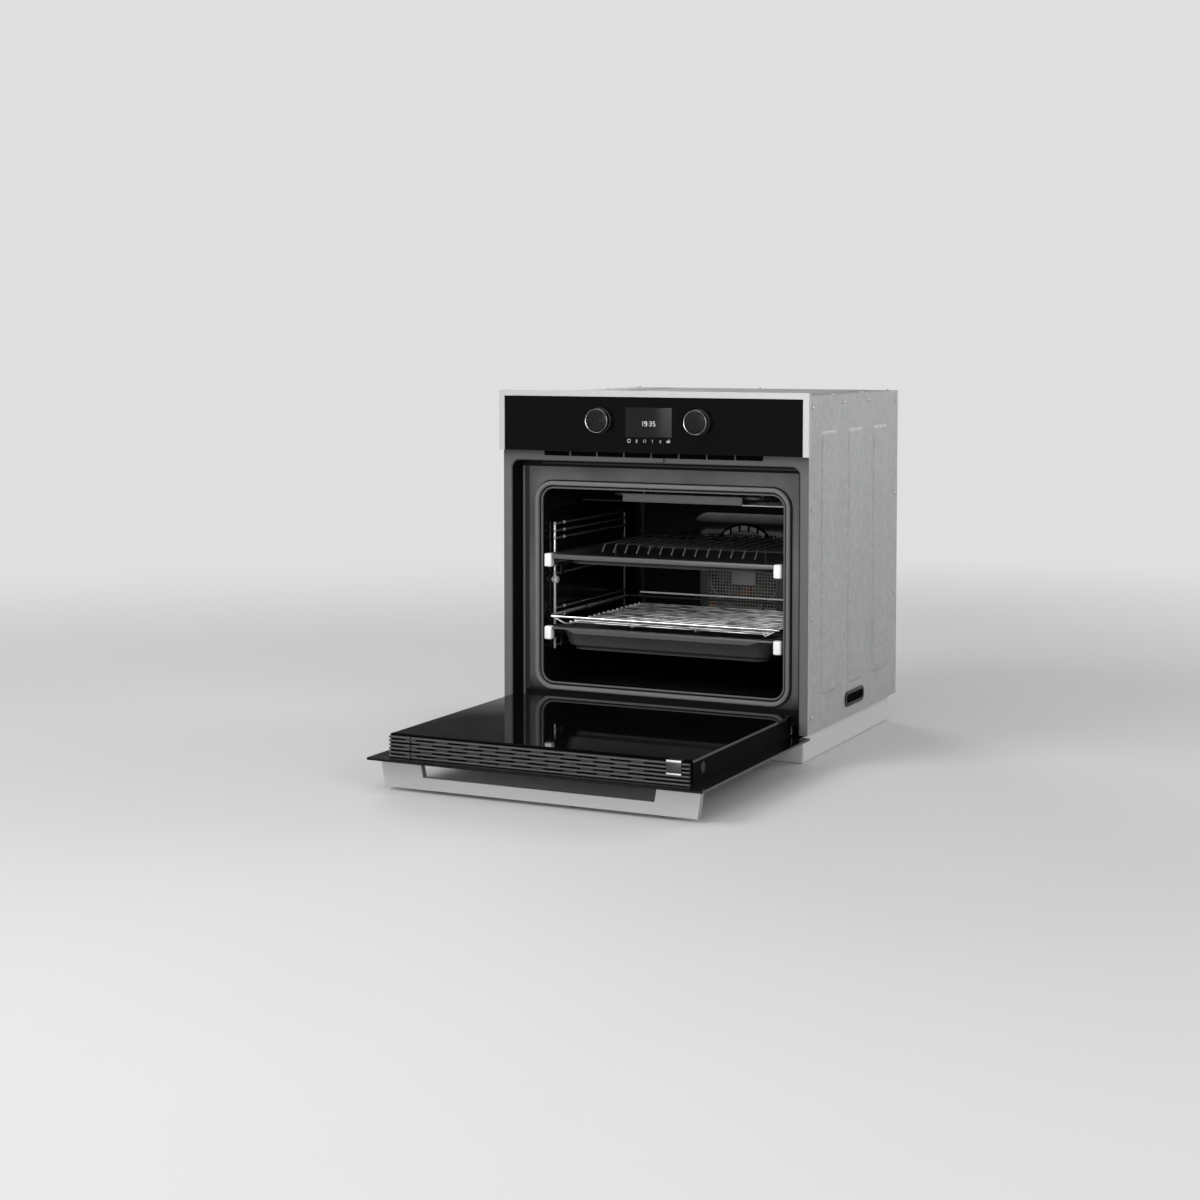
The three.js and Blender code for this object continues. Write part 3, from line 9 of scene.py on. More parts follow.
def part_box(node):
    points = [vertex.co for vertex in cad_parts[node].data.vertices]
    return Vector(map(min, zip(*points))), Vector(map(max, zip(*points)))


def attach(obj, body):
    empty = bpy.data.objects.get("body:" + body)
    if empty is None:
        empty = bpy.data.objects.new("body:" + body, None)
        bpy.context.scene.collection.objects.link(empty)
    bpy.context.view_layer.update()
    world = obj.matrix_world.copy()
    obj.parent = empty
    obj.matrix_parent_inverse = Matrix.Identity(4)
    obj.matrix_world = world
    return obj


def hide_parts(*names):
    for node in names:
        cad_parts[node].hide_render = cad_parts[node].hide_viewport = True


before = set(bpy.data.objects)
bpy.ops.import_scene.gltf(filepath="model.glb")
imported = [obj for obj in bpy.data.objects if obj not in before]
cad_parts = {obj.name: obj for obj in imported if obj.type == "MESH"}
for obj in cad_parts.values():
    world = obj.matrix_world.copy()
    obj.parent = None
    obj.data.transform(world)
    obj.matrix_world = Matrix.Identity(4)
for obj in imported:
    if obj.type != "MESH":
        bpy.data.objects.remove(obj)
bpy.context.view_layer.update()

MM = 0.001  # the frame is in metres, and pieces are drawn in millimetres


# ---------------------------------------------------------------- camera, lamps and studio
def set_camera():
    down, round_to_right = 3.261, 25.769  # degrees
    camera = bpy.data.cameras.new("camera")
    camera.sensor_width = 36
    camera.lens = 63.492
    camera.shift_y = -0.12
    stand = bpy.data.objects.new("camera", camera)
    stand.location = (1.5330, -3.6715, 0.6923)
    stand.rotation_euler = (math.radians(90 - down), 0, math.radians(round_to_right))
    bpy.context.scene.collection.objects.link(stand)
    bpy.context.scene.camera = stand


def hang_lamp(name, place, target, width, height, watts):
    lamp = bpy.data.lights.new(name, "AREA")
    lamp.shape = "RECTANGLE"
    lamp.size = width
    lamp.size_y = height
    lamp.energy = watts
    stand = bpy.data.objects.new(name, lamp)
    stand.location = place
    stand.rotation_euler = (Vector(target) - Vector(place)).to_track_quat("-Z", "Y").to_euler()
    bpy.context.scene.collection.objects.link(stand)


def light_the_studio():
    hang_lamp("key", (-2.0, -3.2, 2.7), (0, -0.3, 0.2), 2.2, 1.6, 92)
    hang_lamp("fill", (3.2, -2.2, 1.7), (0, -0.1, 0.25), 2.0, 1.6, 40)
    hang_lamp("front", (0.1, -4.2, 0.8), (0, 0, 0.25), 1.8, 0.8, 70)
    hang_lamp("overhead", (0.2, -0.5, 3.4), (0, -0.1, 0), 3.0, 3.0, 22)
    hang_lamp("back_left", (-2.6, 2.8, 2.0), (0, 0, 0.3), 1.8, 1.8, 46)
    hang_lamp("back_right", (2.4, 3.0, 1.8), (0, 0, 0.3), 1.8, 1.8, 52)


set_camera()
light_the_studio()
bpy.context.scene.view_settings.view_transform = "Standard"


# ---------------------------------------------------------------- how finishes are mixed
class Line:
    """A value that runs from one node to the next. Sums written with it add Math nodes."""

    def __init__(self, finish, socket):
        self.finish = finish
        self.socket = socket

    def maths(self, operation, *values):
        return self.finish.node("ShaderNodeMath", {"operation": operation}, dict(enumerate(values)))

    def __add__(self, other):
        return self.maths("ADD", self, other)

    def __sub__(self, other):
        return self.maths("SUBTRACT", self, other)

    def __rsub__(self, other):
        return self.maths("SUBTRACT", other, self)

    def __mul__(self, other):
        return self.maths("MULTIPLY", self, other)

    def __gt__(self, other):
        return self.maths("GREATER_THAN", self, other)

    def __abs__(self):
        return self.maths("ABSOLUTE", self)

    __radd__ = __add__
    __rmul__ = __mul__


class Nodes:
    """A node tree with one way to add a node."""

    def __init__(self, tree):
        self.tree = tree

    def node(self, kind, settings=None, inputs=None, out=0):
        node = self.tree.nodes.new(kind)
        for name, value in (settings or {}).items():
            if name == "stops":
                self.set_stops(node.color_ramp, value)
            else:
                setattr(node, name, value)
        for name, value in (inputs or {}).items():
            self.fill(node.inputs[name], value)
        return Line(self, node.outputs[out]) if node.outputs else None

    def fill(self, socket, value):
        if isinstance(value, Line):
            self.tree.links.new(value.socket, socket)
        else:
            socket.default_value = value

    @staticmethod
    def set_stops(ramp, stops):
        while len(ramp.elements) < len(stops):
            ramp.elements.new(1)
        for element, (place, shade) in zip(ramp.elements, stops):
            element.position = place
            element.color = (shade, shade, shade, 1)


class Finish(Nodes):
    """One of the oven's finishes: a Principled material whose look varies over the piece."""

    def __init__(self, name, colour, **sockets):
        self.material = bpy.data.materials.new(name)
        self.material.use_nodes = True
        super().__init__(self.material.node_tree)
        self.shader = self.tree.nodes["Principled BSDF"]
        self.place = self.node("ShaderNodeTexCoord", out="Object")
        self.colour = (*colour, 1)
        self.shader.inputs["Base Color"].default_value = self.colour
        for socket, value in sockets.items():
            self.shader.inputs[socket.replace("_", " ")].default_value = value

    def along(self, axis):
        return self.node("ShaderNodeSeparateXYZ", inputs={0: self.place}, out=axis)

    def stretched(self, x, y, z):
        return self.node("ShaderNodeVectorMath", {"operation": "MULTIPLY"},
                         {0: self.place, 1: (x, y, z)})

    def noise(self, scale, detail=2.0, rough=0.5, place=None):
        return self.node("ShaderNodeTexNoise", inputs={
            "Vector": place or self.place, "Scale": scale, "Detail": detail, "Roughness": rough})

    def cells(self, scale, out="Distance"):
        return self.node("ShaderNodeTexVoronoi", inputs={"Vector": self.place, "Scale": scale}, out=out)

    def rise(self, axis, start, end):
        """Nought up to one place along an axis and one past the other, in metres."""
        return self.node("ShaderNodeMapRange", inputs={0: self.along(axis), 1: start, 2: end})

    def ramp(self, value, *stops):
        return self.node("ShaderNodeValToRGB", {"stops": stops}, {0: value})

    def between(self, mask, first, second):
        return self.node("ShaderNodeMix", {"data_type": "RGBA"}, {0: mask, 6: first, 7: second}, 2)

    def shaded(self, mask, low, high):
        """The finish's own colour, darkened to low and lightened to high by a mask."""
        ends = [tuple(c * share for c in self.colour[:3]) + (1,) for share in (low, high)]
        return self.between(mask, *ends)

    def feed(self, **lines):
        for socket, line in lines.items():
            self.fill(self.shader.inputs[socket.replace("_", " ")], line)
        return self

    def bump(self, height, depth):
        """Raises the surface by up to depth millimetres."""
        normal = self.node("ShaderNodeBump", inputs={"Distance": depth * MM, "Height": height})
        return self.feed(Normal=normal)


# ---------------------------------------------------------------- the oven's finishes
def black_glass(name, ior, shade=0.003, edge_half=None, clarity=0.05):
    """Black-backed glass with faint smudges, and a pale edge where its half width is given: partly the
    ground edge's own colour, partly a painted highlight along it.
    """
    finish = Finish(name, (shade, shade, shade * 1.1), IOR=ior)
    smudges = finish.noise(9, 4, 0.6)
    finish.feed(Roughness=smudges * 0.05 + clarity)
    face = finish.shaded(smudges, 0.7, 1.3)
    if edge_half:
        # partly painted highlight: the pale band along the glass's side edges
        ground_edge_and_highlight = (abs(finish.along("X")) - (edge_half - 0.0003)) > 0
        face = finish.between(ground_edge_and_highlight, face, (0.05, 0.054, 0.054, 1))
    return finish.feed(Base_Color=face)


def brushed(name, colour, metal, rough, across, depth=0.012):
    """Metal with fine brush lines; across gives how fast they change along x, y and z."""
    finish = Finish(name, colour, Metallic=metal)
    lines = finish.noise(1, 3, 0.6, finish.stretched(*across))
    cloud = finish.noise(14, 2)
    finish.feed(Base_Color=finish.shaded(lines, 0.88, 1.1), Roughness=lines * 0.16 + cloud * 0.06 + rough)
    return finish.bump(lines, depth)


def enamel(name, colour, fleck, rough, ior=1.5):
    """Fired enamel: a glossy coat with tiny pale flecks and a slight ripple."""
    finish = Finish(name, colour, IOR=ior)
    speck = finish.ramp(finish.cells(420), (0.1, 1), (0.17, 0))
    sparse = finish.ramp(finish.noise(60, 2), (0.52, 0), (0.6, 1))
    dusted = finish.between(speck * sparse, finish.shaded(finish.noise(12, 3), 0.8, 1.2), fleck)
    finish.feed(Base_Color=dusted, Roughness=finish.noise(25, 3) * 0.12 + rough)
    return finish.bump(finish.noise(160, 2), 0.05)


def satin_paint(name, colour, rough, ior=1.3):
    """Sprayed paint with a fine orange peel and faint clouds."""
    finish = Finish(name, colour, IOR=ior)
    peel = finish.noise(700, 2)
    cloud = finish.noise(7, 3)
    finish.feed(Base_Color=finish.shaded(cloud, 0.92, 1.08), Roughness=peel * 0.1 + cloud * 0.08 + rough)
    return finish.bump(peel, 0.02)


def moulded(name, colour, rough=0.42, grain=900, depth=0.03, ior=1.46):
    """Moulded plastic with a fine spark-eroded grain."""
    finish = Finish(name, colour, IOR=ior)
    pits = finish.cells(grain)
    cloud = finish.noise(16, 2)
    finish.feed(Base_Color=finish.shaded(cloud, 0.88, 1.12), Roughness=pits * 0.12 + cloud * 0.08 + rough)
    return finish.bump(pits, depth)


def plated(name, colour, rough, metal=1.0):
    """Plated or bare wire and sheet, a little cloudy."""
    finish = Finish(name, colour, Metallic=metal)
    cloud = finish.noise(40, 3)
    finish.feed(Base_Color=finish.shaded(cloud, 0.94, 1.05), Roughness=cloud * 0.06 + rough)
    return finish.bump(finish.noise(260, 2), 0.01)


def galvanised():
    """Zinc-coated sheet, with crystals of slightly different greys."""
    finish = Finish("zinc_coated_sheet", (0.4, 0.405, 0.41), Metallic=0.3, IOR=1.35)
    crystal = finish.node("ShaderNodeSeparateColor", inputs={0: finish.cells(95, out="Color")})
    cloud = finish.noise(3, 4, 0.6)
    tone = crystal * 0.65 + cloud * 0.35
    finish.feed(Base_Color=finish.shaded(tone, 0.84, 1.14), Roughness=crystal * 0.12 + cloud * 0.1 + 0.42)
    return finish.bump(crystal, 0.02)


def woven_seal():
    """Braided glass-fibre sleeve."""
    finish = Finish("braided_seal", (0.165, 0.168, 0.168), Roughness=0.82)
    braid = finish.cells(760)
    finish.feed(Base_Color=finish.shaded(braid * 1.4, 1.12, 0.72))
    return finish.bump(1 - braid, 0.25)


def heated_tube():
    """Sheathed heating tube, browned in patches by its own heat."""
    finish = Finish("browned_tube", (0.15, 0.145, 0.14), Metallic=0.85)
    patches = finish.noise(26, 4, 0.6)
    scorched = finish.between(patches, (0.2, 0.195, 0.19, 1), (0.085, 0.068, 0.06, 1))
    finish.feed(Base_Color=scorched, Roughness=patches * 0.25 + 0.34)
    return finish.bump(finish.noise(500, 2), 0.02)


def mineral_wool():
    """Yellowish wool with long loose strands."""
    finish = Finish("mineral_wool", (0.48, 0.4, 0.22), Roughness=0.95)
    strands = finish.noise(1, 4, 0.7, finish.stretched(240, 60, 240))
    finish.feed(Base_Color=finish.shaded(strands, 0.7, 1.25))
    return finish.bump(strands, 1.2)


def clear_glass():
    """The door's middle pane, clear and faintly green."""
    finish = Finish("clear_glass", (0.9, 0.93, 0.92), IOR=1.45, Transmission_Weight=1.0)
    return finish.feed(Roughness=finish.noise(20, 3) * 0.03 + 0.02).bump(finish.noise(60), 0.02)


def frosted_lens():
    """Thick pressed glass, dimpled so that it scatters the lamp's light."""
    finish = Finish("lamp_glass", (0.8, 0.82, 0.8), IOR=1.45, Transmission_Weight=0.6)
    return finish.feed(Roughness=finish.noise(30, 2) * 0.08 + 0.12).bump(finish.cells(240), 0.2)


def lit_digits():
    """The clock's bars, glowing faintly."""
    finish = Finish("lit_digits", (0.7, 0.72, 0.74), Emission_Strength=0.5)
    glow = finish.shaded(finish.noise(900, 1), 0.94, 1.04)
    return finish.feed(Base_Color=glow, Emission_Color=glow, Roughness=finish.noise(300) * 0.1 + 0.4)


def frame_paint_shaded_at_top():
    """The front frame's grey, with painted shade darkening it towards the air slots at its top, where the
    panel above shades it.
    """
    finish = satin_paint("satin_grey_paint", (0.1, 0.1, 0.102), 0.46)
    # painted shade: the grey darkens with height towards the panel's overhang
    height = finish.rise("Z", start=0.452, end=0.49)
    return finish.feed(Base_Color=finish.shaded(height + finish.noise(7, 3) * 0.12, 1.06, 0.5))


def shield_sheet_painted_light():
    """The grill shield's sheet, with painted shade darkening its left half and painted light brightening
    its right half.
    """
    finish = satin_paint("shield_grey", (0.5, 0.5, 0.5), 0.38)
    # painted light and shade: dark towards the left, light towards the right
    side = finish.rise("X", start=-0.05, end=0.12)
    return finish.feed(Base_Color=finish.shaded(side * (finish.noise(9, 3) + 0.5), 0.04, 1.75))


def flange_paint_shaded_foot():
    """The frame's grey on the flange, with painted shade darkening it towards the flange's foot, where the
    door's gap lies in shade.
    """
    finish = satin_paint("flange_grey_paint", (0.088, 0.088, 0.09), 0.46)
    # painted shade: dark at the flange's foot, rising to grey above
    lift = finish.rise("Z", start=0.046, end=0.072)
    return finish.feed(Base_Color=finish.shaded(lift * finish.noise(7, 3), 0.04, 1.9))


def screen_coat_painted_light():
    """The fan screen's enamel, with a painted highlight on the slope at its top and painted shade below it.
    """
    finish = enamel("screen_enamel", (0.2, 0.2, 0.202), (0.2, 0.2, 0.2, 1), 0.4, 1.2)
    # painted highlight: pale on the top slope, fading down into dark
    top = finish.rise("Z", start=0.326, end=0.345)
    return finish.feed(Base_Color=finish.shaded(top * (finish.noise(12, 3) + 0.5), 0.03, 1.3))


def fan_mesh():
    """Perforated sheet, greened and browned by the heat in patches, black at its sides, and with painted
    shade making it black at its top under the tray.
    """
    finish = Finish("browned_mesh", (0.12, 0.12, 0.118))
    warm = finish.ramp(finish.noise(34, 3, 0.6), (0.58, 0), (0.7, 1))
    green = finish.ramp(finish.noise(22, 2), (0.52, 0), (0.68, 1))
    greened = finish.between(green, finish.colour, (0.11, 0.14, 0.08, 1))
    browned = finish.between(warm, greened, (0.28, 0.13, 0.07, 1))
    # painted shade: black above the tray's height, where the tray shades the sheet
    tray_shade = finish.between(finish.rise("Z", start=0.268, end=0.292), browned, (0.01, 0.01, 0.01, 1))
    border = abs(finish.along("X")) > 0.0712
    edged = finish.between(border, tray_shade, (0.012, 0.012, 0.012, 1))
    finish.feed(Base_Color=edged, Roughness=warm * 0.15 + 0.34)
    return finish.bump(finish.noise(300, 2), 0.03)


def shelf_coat():
    """Satin chrome on the shelf's bars, with painted reflection as random lighter and darker patches."""
    finish = plated("satin_shelf_wire", (0.5, 0.5, 0.5), 0.26, 0.6)
    # painted reflection: light and dark patches standing for light caught along the bars
    reflection_mottle = finish.ramp(finish.noise(30, 1, 0.4, finish.stretched(1, 1.4, 1)), (0.36, 0), (0.6, 1))
    return finish.feed(Base_Color=finish.shaded(reflection_mottle, 0.4, 1.95))


def dotted_face():
    """The knobs' faces: black, with a close pattern of fine dots."""
    finish = Finish("dotted_black", (0.004, 0.004, 0.004), IOR=1.16)
    dots = finish.ramp(finish.cells(800), (0.22, 1), (0.4, 0))
    dotted = finish.between(dots, finish.colour, (0.05, 0.05, 0.05, 1))
    return finish.feed(Base_Color=dotted, Roughness=dots * 0.2 + 0.32).bump(dots, 0.08)


ZINC = galvanised()
FRAME_PAINT = frame_paint_shaded_at_top()
FLANGE_PAINT = flange_paint_shaded_foot()
# painted shade: near-black paint for skins laid where the recess and the gasket's channel lie in shade
RECESS_SHADE_BLACK = satin_paint("recess_painted_shade", (0.0025, 0.0025, 0.0025), 0.6, 1.2)
# painted shade: a darkened copy of the frame paint for the grooves
GROOVE_SHADE = satin_paint("groove_painted_shade", (0.02, 0.02, 0.02), 0.5)
LIP_GREY = satin_paint("mouth_lip_grey", (0.1, 0.1, 0.1), 0.3)
CAVITY_ENAMEL = enamel("cavity_enamel", (0.005, 0.005, 0.0055), (0.05, 0.05, 0.05, 1), 0.08, 1.15)
# painted light and shade: the tray's body and its apron are darker and lighter copies of one enamel
TRAY_ENAMEL_SHADED = enamel("tray_enamel_painted_shade", (0.036, 0.036, 0.037), (0.09, 0.09, 0.09, 1), 0.3)
APRON_ENAMEL_LIT = enamel("tray_apron_enamel_painted_light", (0.078, 0.078, 0.08), (0.16, 0.16, 0.16, 1), 0.32)
SHIELD_STEEL = shield_sheet_painted_light()
SHIELD_LIP = satin_paint("shield_lip_grey", (0.14, 0.14, 0.14), 0.34)
SEAL = woven_seal()
WOOL = mineral_wool()
TUBE = heated_tube()
CERAMIC = moulded("white_ceramic", (0.8, 0.8, 0.78), 0.25, 300)
CLEAR = clear_glass()
LENS = frosted_lens()
PANEL_GLASS = black_glass("panel_glass_black", 1.17, 0.0022)
DOOR_GLASS = black_glass("door_glass_black", 1.3, edge_half=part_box("door_outer_glass")[1].x)
INNER_GLASS = black_glass("inner_glass_black", 1.45, clarity=0.015)
WINDOW = black_glass("display_window", 1.18, 0.011, clarity=0.2)
WIRE = plated("chromed_wire", (0.78, 0.78, 0.79), 0.05)
POST_WIRE = plated("satin_rack_post", (0.7, 0.7, 0.71), 0.25, 0.6)
RUNG_WIRE = plated("dull_rack_wire", (0.45, 0.45, 0.455), 0.18, 0.8)
# painted highlight: a bright copy of the wire for the bright dots on sleeves, nuts and bead ends
HIGHLIGHT_WIRE = plated("wire_painted_highlight", (0.8, 0.8, 0.8), 0.3, 0.2)
SHELF_WIRE = shelf_coat()
# painted highlight: the shelf's rear rail is a bright copy of the wire, showing as a bright line
RAIL_HIGHLIGHT_WIRE = plated("rear_rail_painted_highlight", (0.8, 0.8, 0.8), 0.3, 0.3)
REAR_WIRE = plated("dull_rear_wire", (0.12, 0.12, 0.12), 0.4, 0.3)
# painted shade: a near-black copy of the wire for wires that lie in shade
SHADED_WIRE = plated("wire_painted_shade", (0.02, 0.02, 0.02), 0.5, 0.2)
GRID_WIRE = plated("dull_grid_wire", (0.1, 0.1, 0.1), 0.4, 0.3)
RING = plated("chromed_ring", (0.34, 0.34, 0.35), 0.2)
RAIL = brushed("rail_steel", (0.45, 0.45, 0.46), 0.9, 0.2, (900, 14, 900))
TRIM = brushed("satin_trim", (0.44, 0.44, 0.44), 0.3, 0.36, (60, 900, 900), 0.006)
ALUMINIUM = brushed("brushed_aluminium", (0.37, 0.37, 0.375), 0.35, 0.36, (16, 1100, 1100))
CLIP = brushed("clip_steel", (0.035, 0.035, 0.035), 0.4, 0.3, (40, 900, 900))
CLIP_EDGE = brushed("clip_edge_steel", (0.62, 0.62, 0.62), 0.4, 0.3, (40, 900, 900))
BLACK = moulded("black_plastic", (0.01, 0.01, 0.0103))
COLUMN = moulded("column_black", (0.002, 0.002, 0.0021), 0.4, ior=1.08)
VENT = moulded("vent_black", (0.034, 0.034, 0.035), 0.4)
VENT_GROOVE = moulded("vent_groove_black", (0.014, 0.014, 0.014), 0.5)
# painted shade: a near-black stand-in for the shade inside slots and openings
DARK = moulded("slot_shadow_black", (0.0015, 0.0015, 0.0015), 0.7, ior=1.06)
FAN_SHADE_BLACK = moulded("fan_steel_painted_shade", (0.012, 0.012, 0.012), 0.5)
STOP_WHITE = moulded("stop_white", (0.84, 0.84, 0.83), 0.34, 500, 0.015)
BOARD = moulded("circuit_board", (0.02, 0.1, 0.035), 0.4, 260)
KNOB_FACE = dotted_face()
KNOB_SIDE = moulded("knob_black", (0.008, 0.008, 0.008), 0.34)
INK = moulded("panel_ink", (0.42, 0.42, 0.42), 0.5)
DIGITS = lit_digits()
SCREW = plated("zinc_screw", (0.5, 0.5, 0.48), 0.22)
SCREW_BLACK = plated("blackened_screw", (0.03, 0.03, 0.03), 0.4, 0.5)
SCREEN = screen_coat_painted_light()
SCREEN_MESH = fan_mesh()
SCREEN_PLATE = satin_paint("screen_plate_grey", (0.24, 0.24, 0.24), 0.36)
VANE_GREY = satin_paint("vane_grey", (0.1, 0.1, 0.1), 0.4)


# ---------------------------------------------------------------- how pieces are shaped
# Pieces are drawn in millimetres in the oven's frame, with the door lying open.
class Span:
    """A part's extent along each axis, in millimetres."""

    def __init__(self, node):
        low, high = (corner * 1000 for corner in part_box(node))
        self.x0, self.y0, self.z0 = low
        self.x1, self.y1, self.z1 = high
        self.x, self.y, self.z = (low + high) / 2
        self.width, self.depth, self.height = high - low


PLANES = {
    "XY": lambda a, b, c: Vector((a, b, c)),
    "XZ": lambda a, b, c: Vector((a, c, b)),
    "YZ": lambda a, b, c: Vector((c, a, b)),
}


def rounded(a0, a1, b0, b1, radius, steps=8):
    """A rectangle with rounded corners, as points on a plane."""
    middles = [(a1 - radius, b0 + radius, -90), (a1 - radius, b1 - radius, 0),
               (a0 + radius, b1 - radius, 90), (a0 + radius, b0 + radius, 180)]
    turns = [(a, b, math.radians(start + 90 * i / steps))
             for a, b, start in middles for i in range(steps + 1)]
    return [(a + radius * math.cos(t), b + radius * math.sin(t)) for a, b, t in turns]


def arch(half, top, foot, radius):
    """The two sides and the top of a rounded rectangle, from its left foot to its right foot."""
    steps = 10
    corners = [(-half + radius, 180), (half - radius, 90)]
    turns = [(a, math.radians(start - 90 * i / steps)) for a, start in corners for i in range(steps + 1)]
    over = [(a + radius * math.cos(t), top - radius + radius * math.sin(t)) for a, t in turns]
    return [(-half, foot), *over, (half, foot)]


def full_turn(steps):
    """The angles of equal steps once round, in radians."""
    return [2 * math.pi * i / steps for i in range(steps)]


def angles(degrees, count):
    """The angles from nought up by equal steps, in radians."""
    return [math.radians(degrees * i) for i in range(count)]


def circle(a, b, radius, steps):
    """A circle, as points on a plane."""
    turns = full_turn(steps)
    return [(a + radius * math.cos(t), b + radius * math.sin(t)) for t in turns]


def bent(corners, bend, steps=6):
    """The line through corner points, with the corners between its ends rounded to one radius."""
    at = [Vector(corner) for corner in corners]
    line = [at[0]]
    for before, corner, after in zip(at, at[1:], at[2:]):
        back = (before - corner).normalized()
        ahead = (after - corner).normalized()
        half = back.angle(ahead) / 2
        centre = corner + (back + ahead).normalized() * (bend / math.sin(half))
        start = (corner + back * (bend / math.tan(half)) - centre).normalized()
        end = (corner + ahead * (bend / math.tan(half)) - centre).normalized()
        line += [centre + start.slerp(end, k / steps).normalized() * bend for k in range(steps + 1)]
    return [*line, at[-1]]


class Blank:
    """A mesh in the making."""

    def __init__(self):
        self.mesh = bmesh.new()

    def loft(self, rings, closed=False):
        """Skins a list of rings of points. Closed joins the last to the first, or else both are capped."""
        rows = [[self.mesh.verts.new(point) for point in ring] for ring in rings]
        pairs = list(zip(rows, rows[1:])) + ([(rows[-1], rows[0])] if closed else [])
        count = len(rows[0])
        for first, second in pairs:
            for i in range(count):
                j = (i + 1) % count
                self.mesh.faces.new((first[i], first[j], second[j], second[i]))
        if not closed:
            self.mesh.faces.new(rows[0])
            self.mesh.faces.new(rows[-1])
        return self

    def sweep(self, paths, plane):
        """Joins (outline, depth) pairs on a plane into a closed ring-shaped body."""
        place = PLANES[plane]
        return self.loft([[place(a, b, depth) for a, b in outline] for outline, depth in paths],
                         closed=True)

    def strip(self, paths, plane):
        """Joins open (outline, depth) pairs into a body that ends flat at both ends of the outline."""
        place = PLANES[plane]
        rows = [[place(a, b, depth) for a, b in outline] for outline, depth in paths]
        return self.loft([list(section) for section in zip(*rows)])

    def wire(self, line, radius, sides=12, closed=False):
        """A round wire along a line, with domed ends."""
        line = [Vector(point) for point in line]
        count = len(line)
        if closed:
            ways = [(line[(i + 1) % count] - line[i - 1]).normalized() for i in range(count)]
        else:
            inner = [(line[i + 1] - line[i - 1]).normalized() for i in range(1, count - 1)]
            ways = [(line[1] - line[0]).normalized(), *inner, (line[-1] - line[-2]).normalized()]
        across = ways[0].orthogonal().normalized()
        rings = []
        for point, way in zip(line, ways):
            across = (across - way * across.dot(way)).normalized()
            rings.append((point, across, way.cross(across), radius))
        if not closed:
            for share in (0.55, 0.85):
                slim = radius * math.sqrt(1 - share * share)
                rings.insert(0, (line[0] - ways[0] * radius * share, rings[0][1], rings[0][2], slim))
                rings.append((line[-1] + ways[-1] * radius * share, rings[-1][1], rings[-1][2], slim))
        turns = full_turn(sides)
        return self.loft([[point + (u * math.cos(t) + v * math.sin(t)) * r for t in turns]
                          for point, u, v, r in rings], closed=closed)

    def turned(self, profile, centre, axis, steps=48):
        """A body turned on a lathe from (radius, distance along the axis) pairs."""
        centre, axis = Vector(centre), Vector(axis)
        across = axis.orthogonal().normalized()
        along = axis.cross(across)
        turns = full_turn(steps)
        return self.loft([[centre + axis * far + (across * math.cos(t) + along * math.sin(t)) * r
                           for t in turns] for r, far in profile])

    def box(self, x0, x1, y0, y1, z0, z1, edge=0.0, segments=2):
        size = Matrix.Diagonal((abs(x1 - x0), abs(y1 - y0), abs(z1 - z0), 1))
        centre = Matrix.Translation(((x0 + x1) / 2, (y0 + y1) / 2, (z0 + z1) / 2))
        verts = bmesh.ops.create_cube(self.mesh, size=1, matrix=centre @ size)["verts"]
        if edge:
            edges = list({e for v in verts for e in v.link_edges})
            bmesh.ops.bevel(self.mesh, geom=edges, offset=edge, segments=segments, profile=0.5,
                            affect="EDGES")
        return self

    def plate(self, outlines, plane, c0, c1, edge=0.0):
        """A flat plate between two depths, with holes and rounded edges."""
        curve = bpy.data.curves.new("plate", "CURVE")
        curve.dimensions = "2D"
        curve.fill_mode = "BOTH"
        curve.extrude = abs(c1 - c0) / 2 - edge
        curve.bevel_depth = edge
        curve.bevel_resolution = 1
        curve.offset = -edge
        for outline in outlines:
            spline = curve.splines.new("POLY")
            spline.points.add(len(outline) - 1)
            spline.points.foreach_set("co", [v for a, b in outline for v in (a, b, 0, 1)])
            spline.use_cyclic_u = True
        pattern = bpy.data.objects.new("plate", curve)
        flat = bpy.data.meshes.new_from_object(pattern)
        place = PLANES[plane]
        middle = (c0 + c1) / 2
        for vert in flat.vertices:
            vert.co = place(vert.co.x, vert.co.y, vert.co.z + middle)
        self.mesh.from_mesh(flat)
        bpy.data.objects.remove(pattern)
        bpy.data.curves.remove(curve)
        bpy.data.meshes.remove(flat)
        return self

    def made(self, name, finish, body, slot, *replaced):
        """Turns the blank into a piece on a body, in metres, in place of a part if one is named."""
        bmesh.ops.remove_doubles(self.mesh, verts=self.mesh.verts, dist=0.0005)
        bmesh.ops.recalc_face_normals(self.mesh, faces=self.mesh.faces)
        bmesh.ops.scale(self.mesh, vec=(MM,) * 3, verts=self.mesh.verts)
        data = bpy.data.meshes.new(name)
        self.mesh.to_mesh(data)
        self.mesh.free()
        data.shade_smooth()
        data.set_sharp_from_angle(angle=math.radians(36))
        data.materials.append(finish.material)
        piece = bpy.data.objects.new(name, data)
        bpy.context.scene.collection.objects.link(piece)
        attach(piece, body)
        if replaced:
            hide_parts(*replaced)


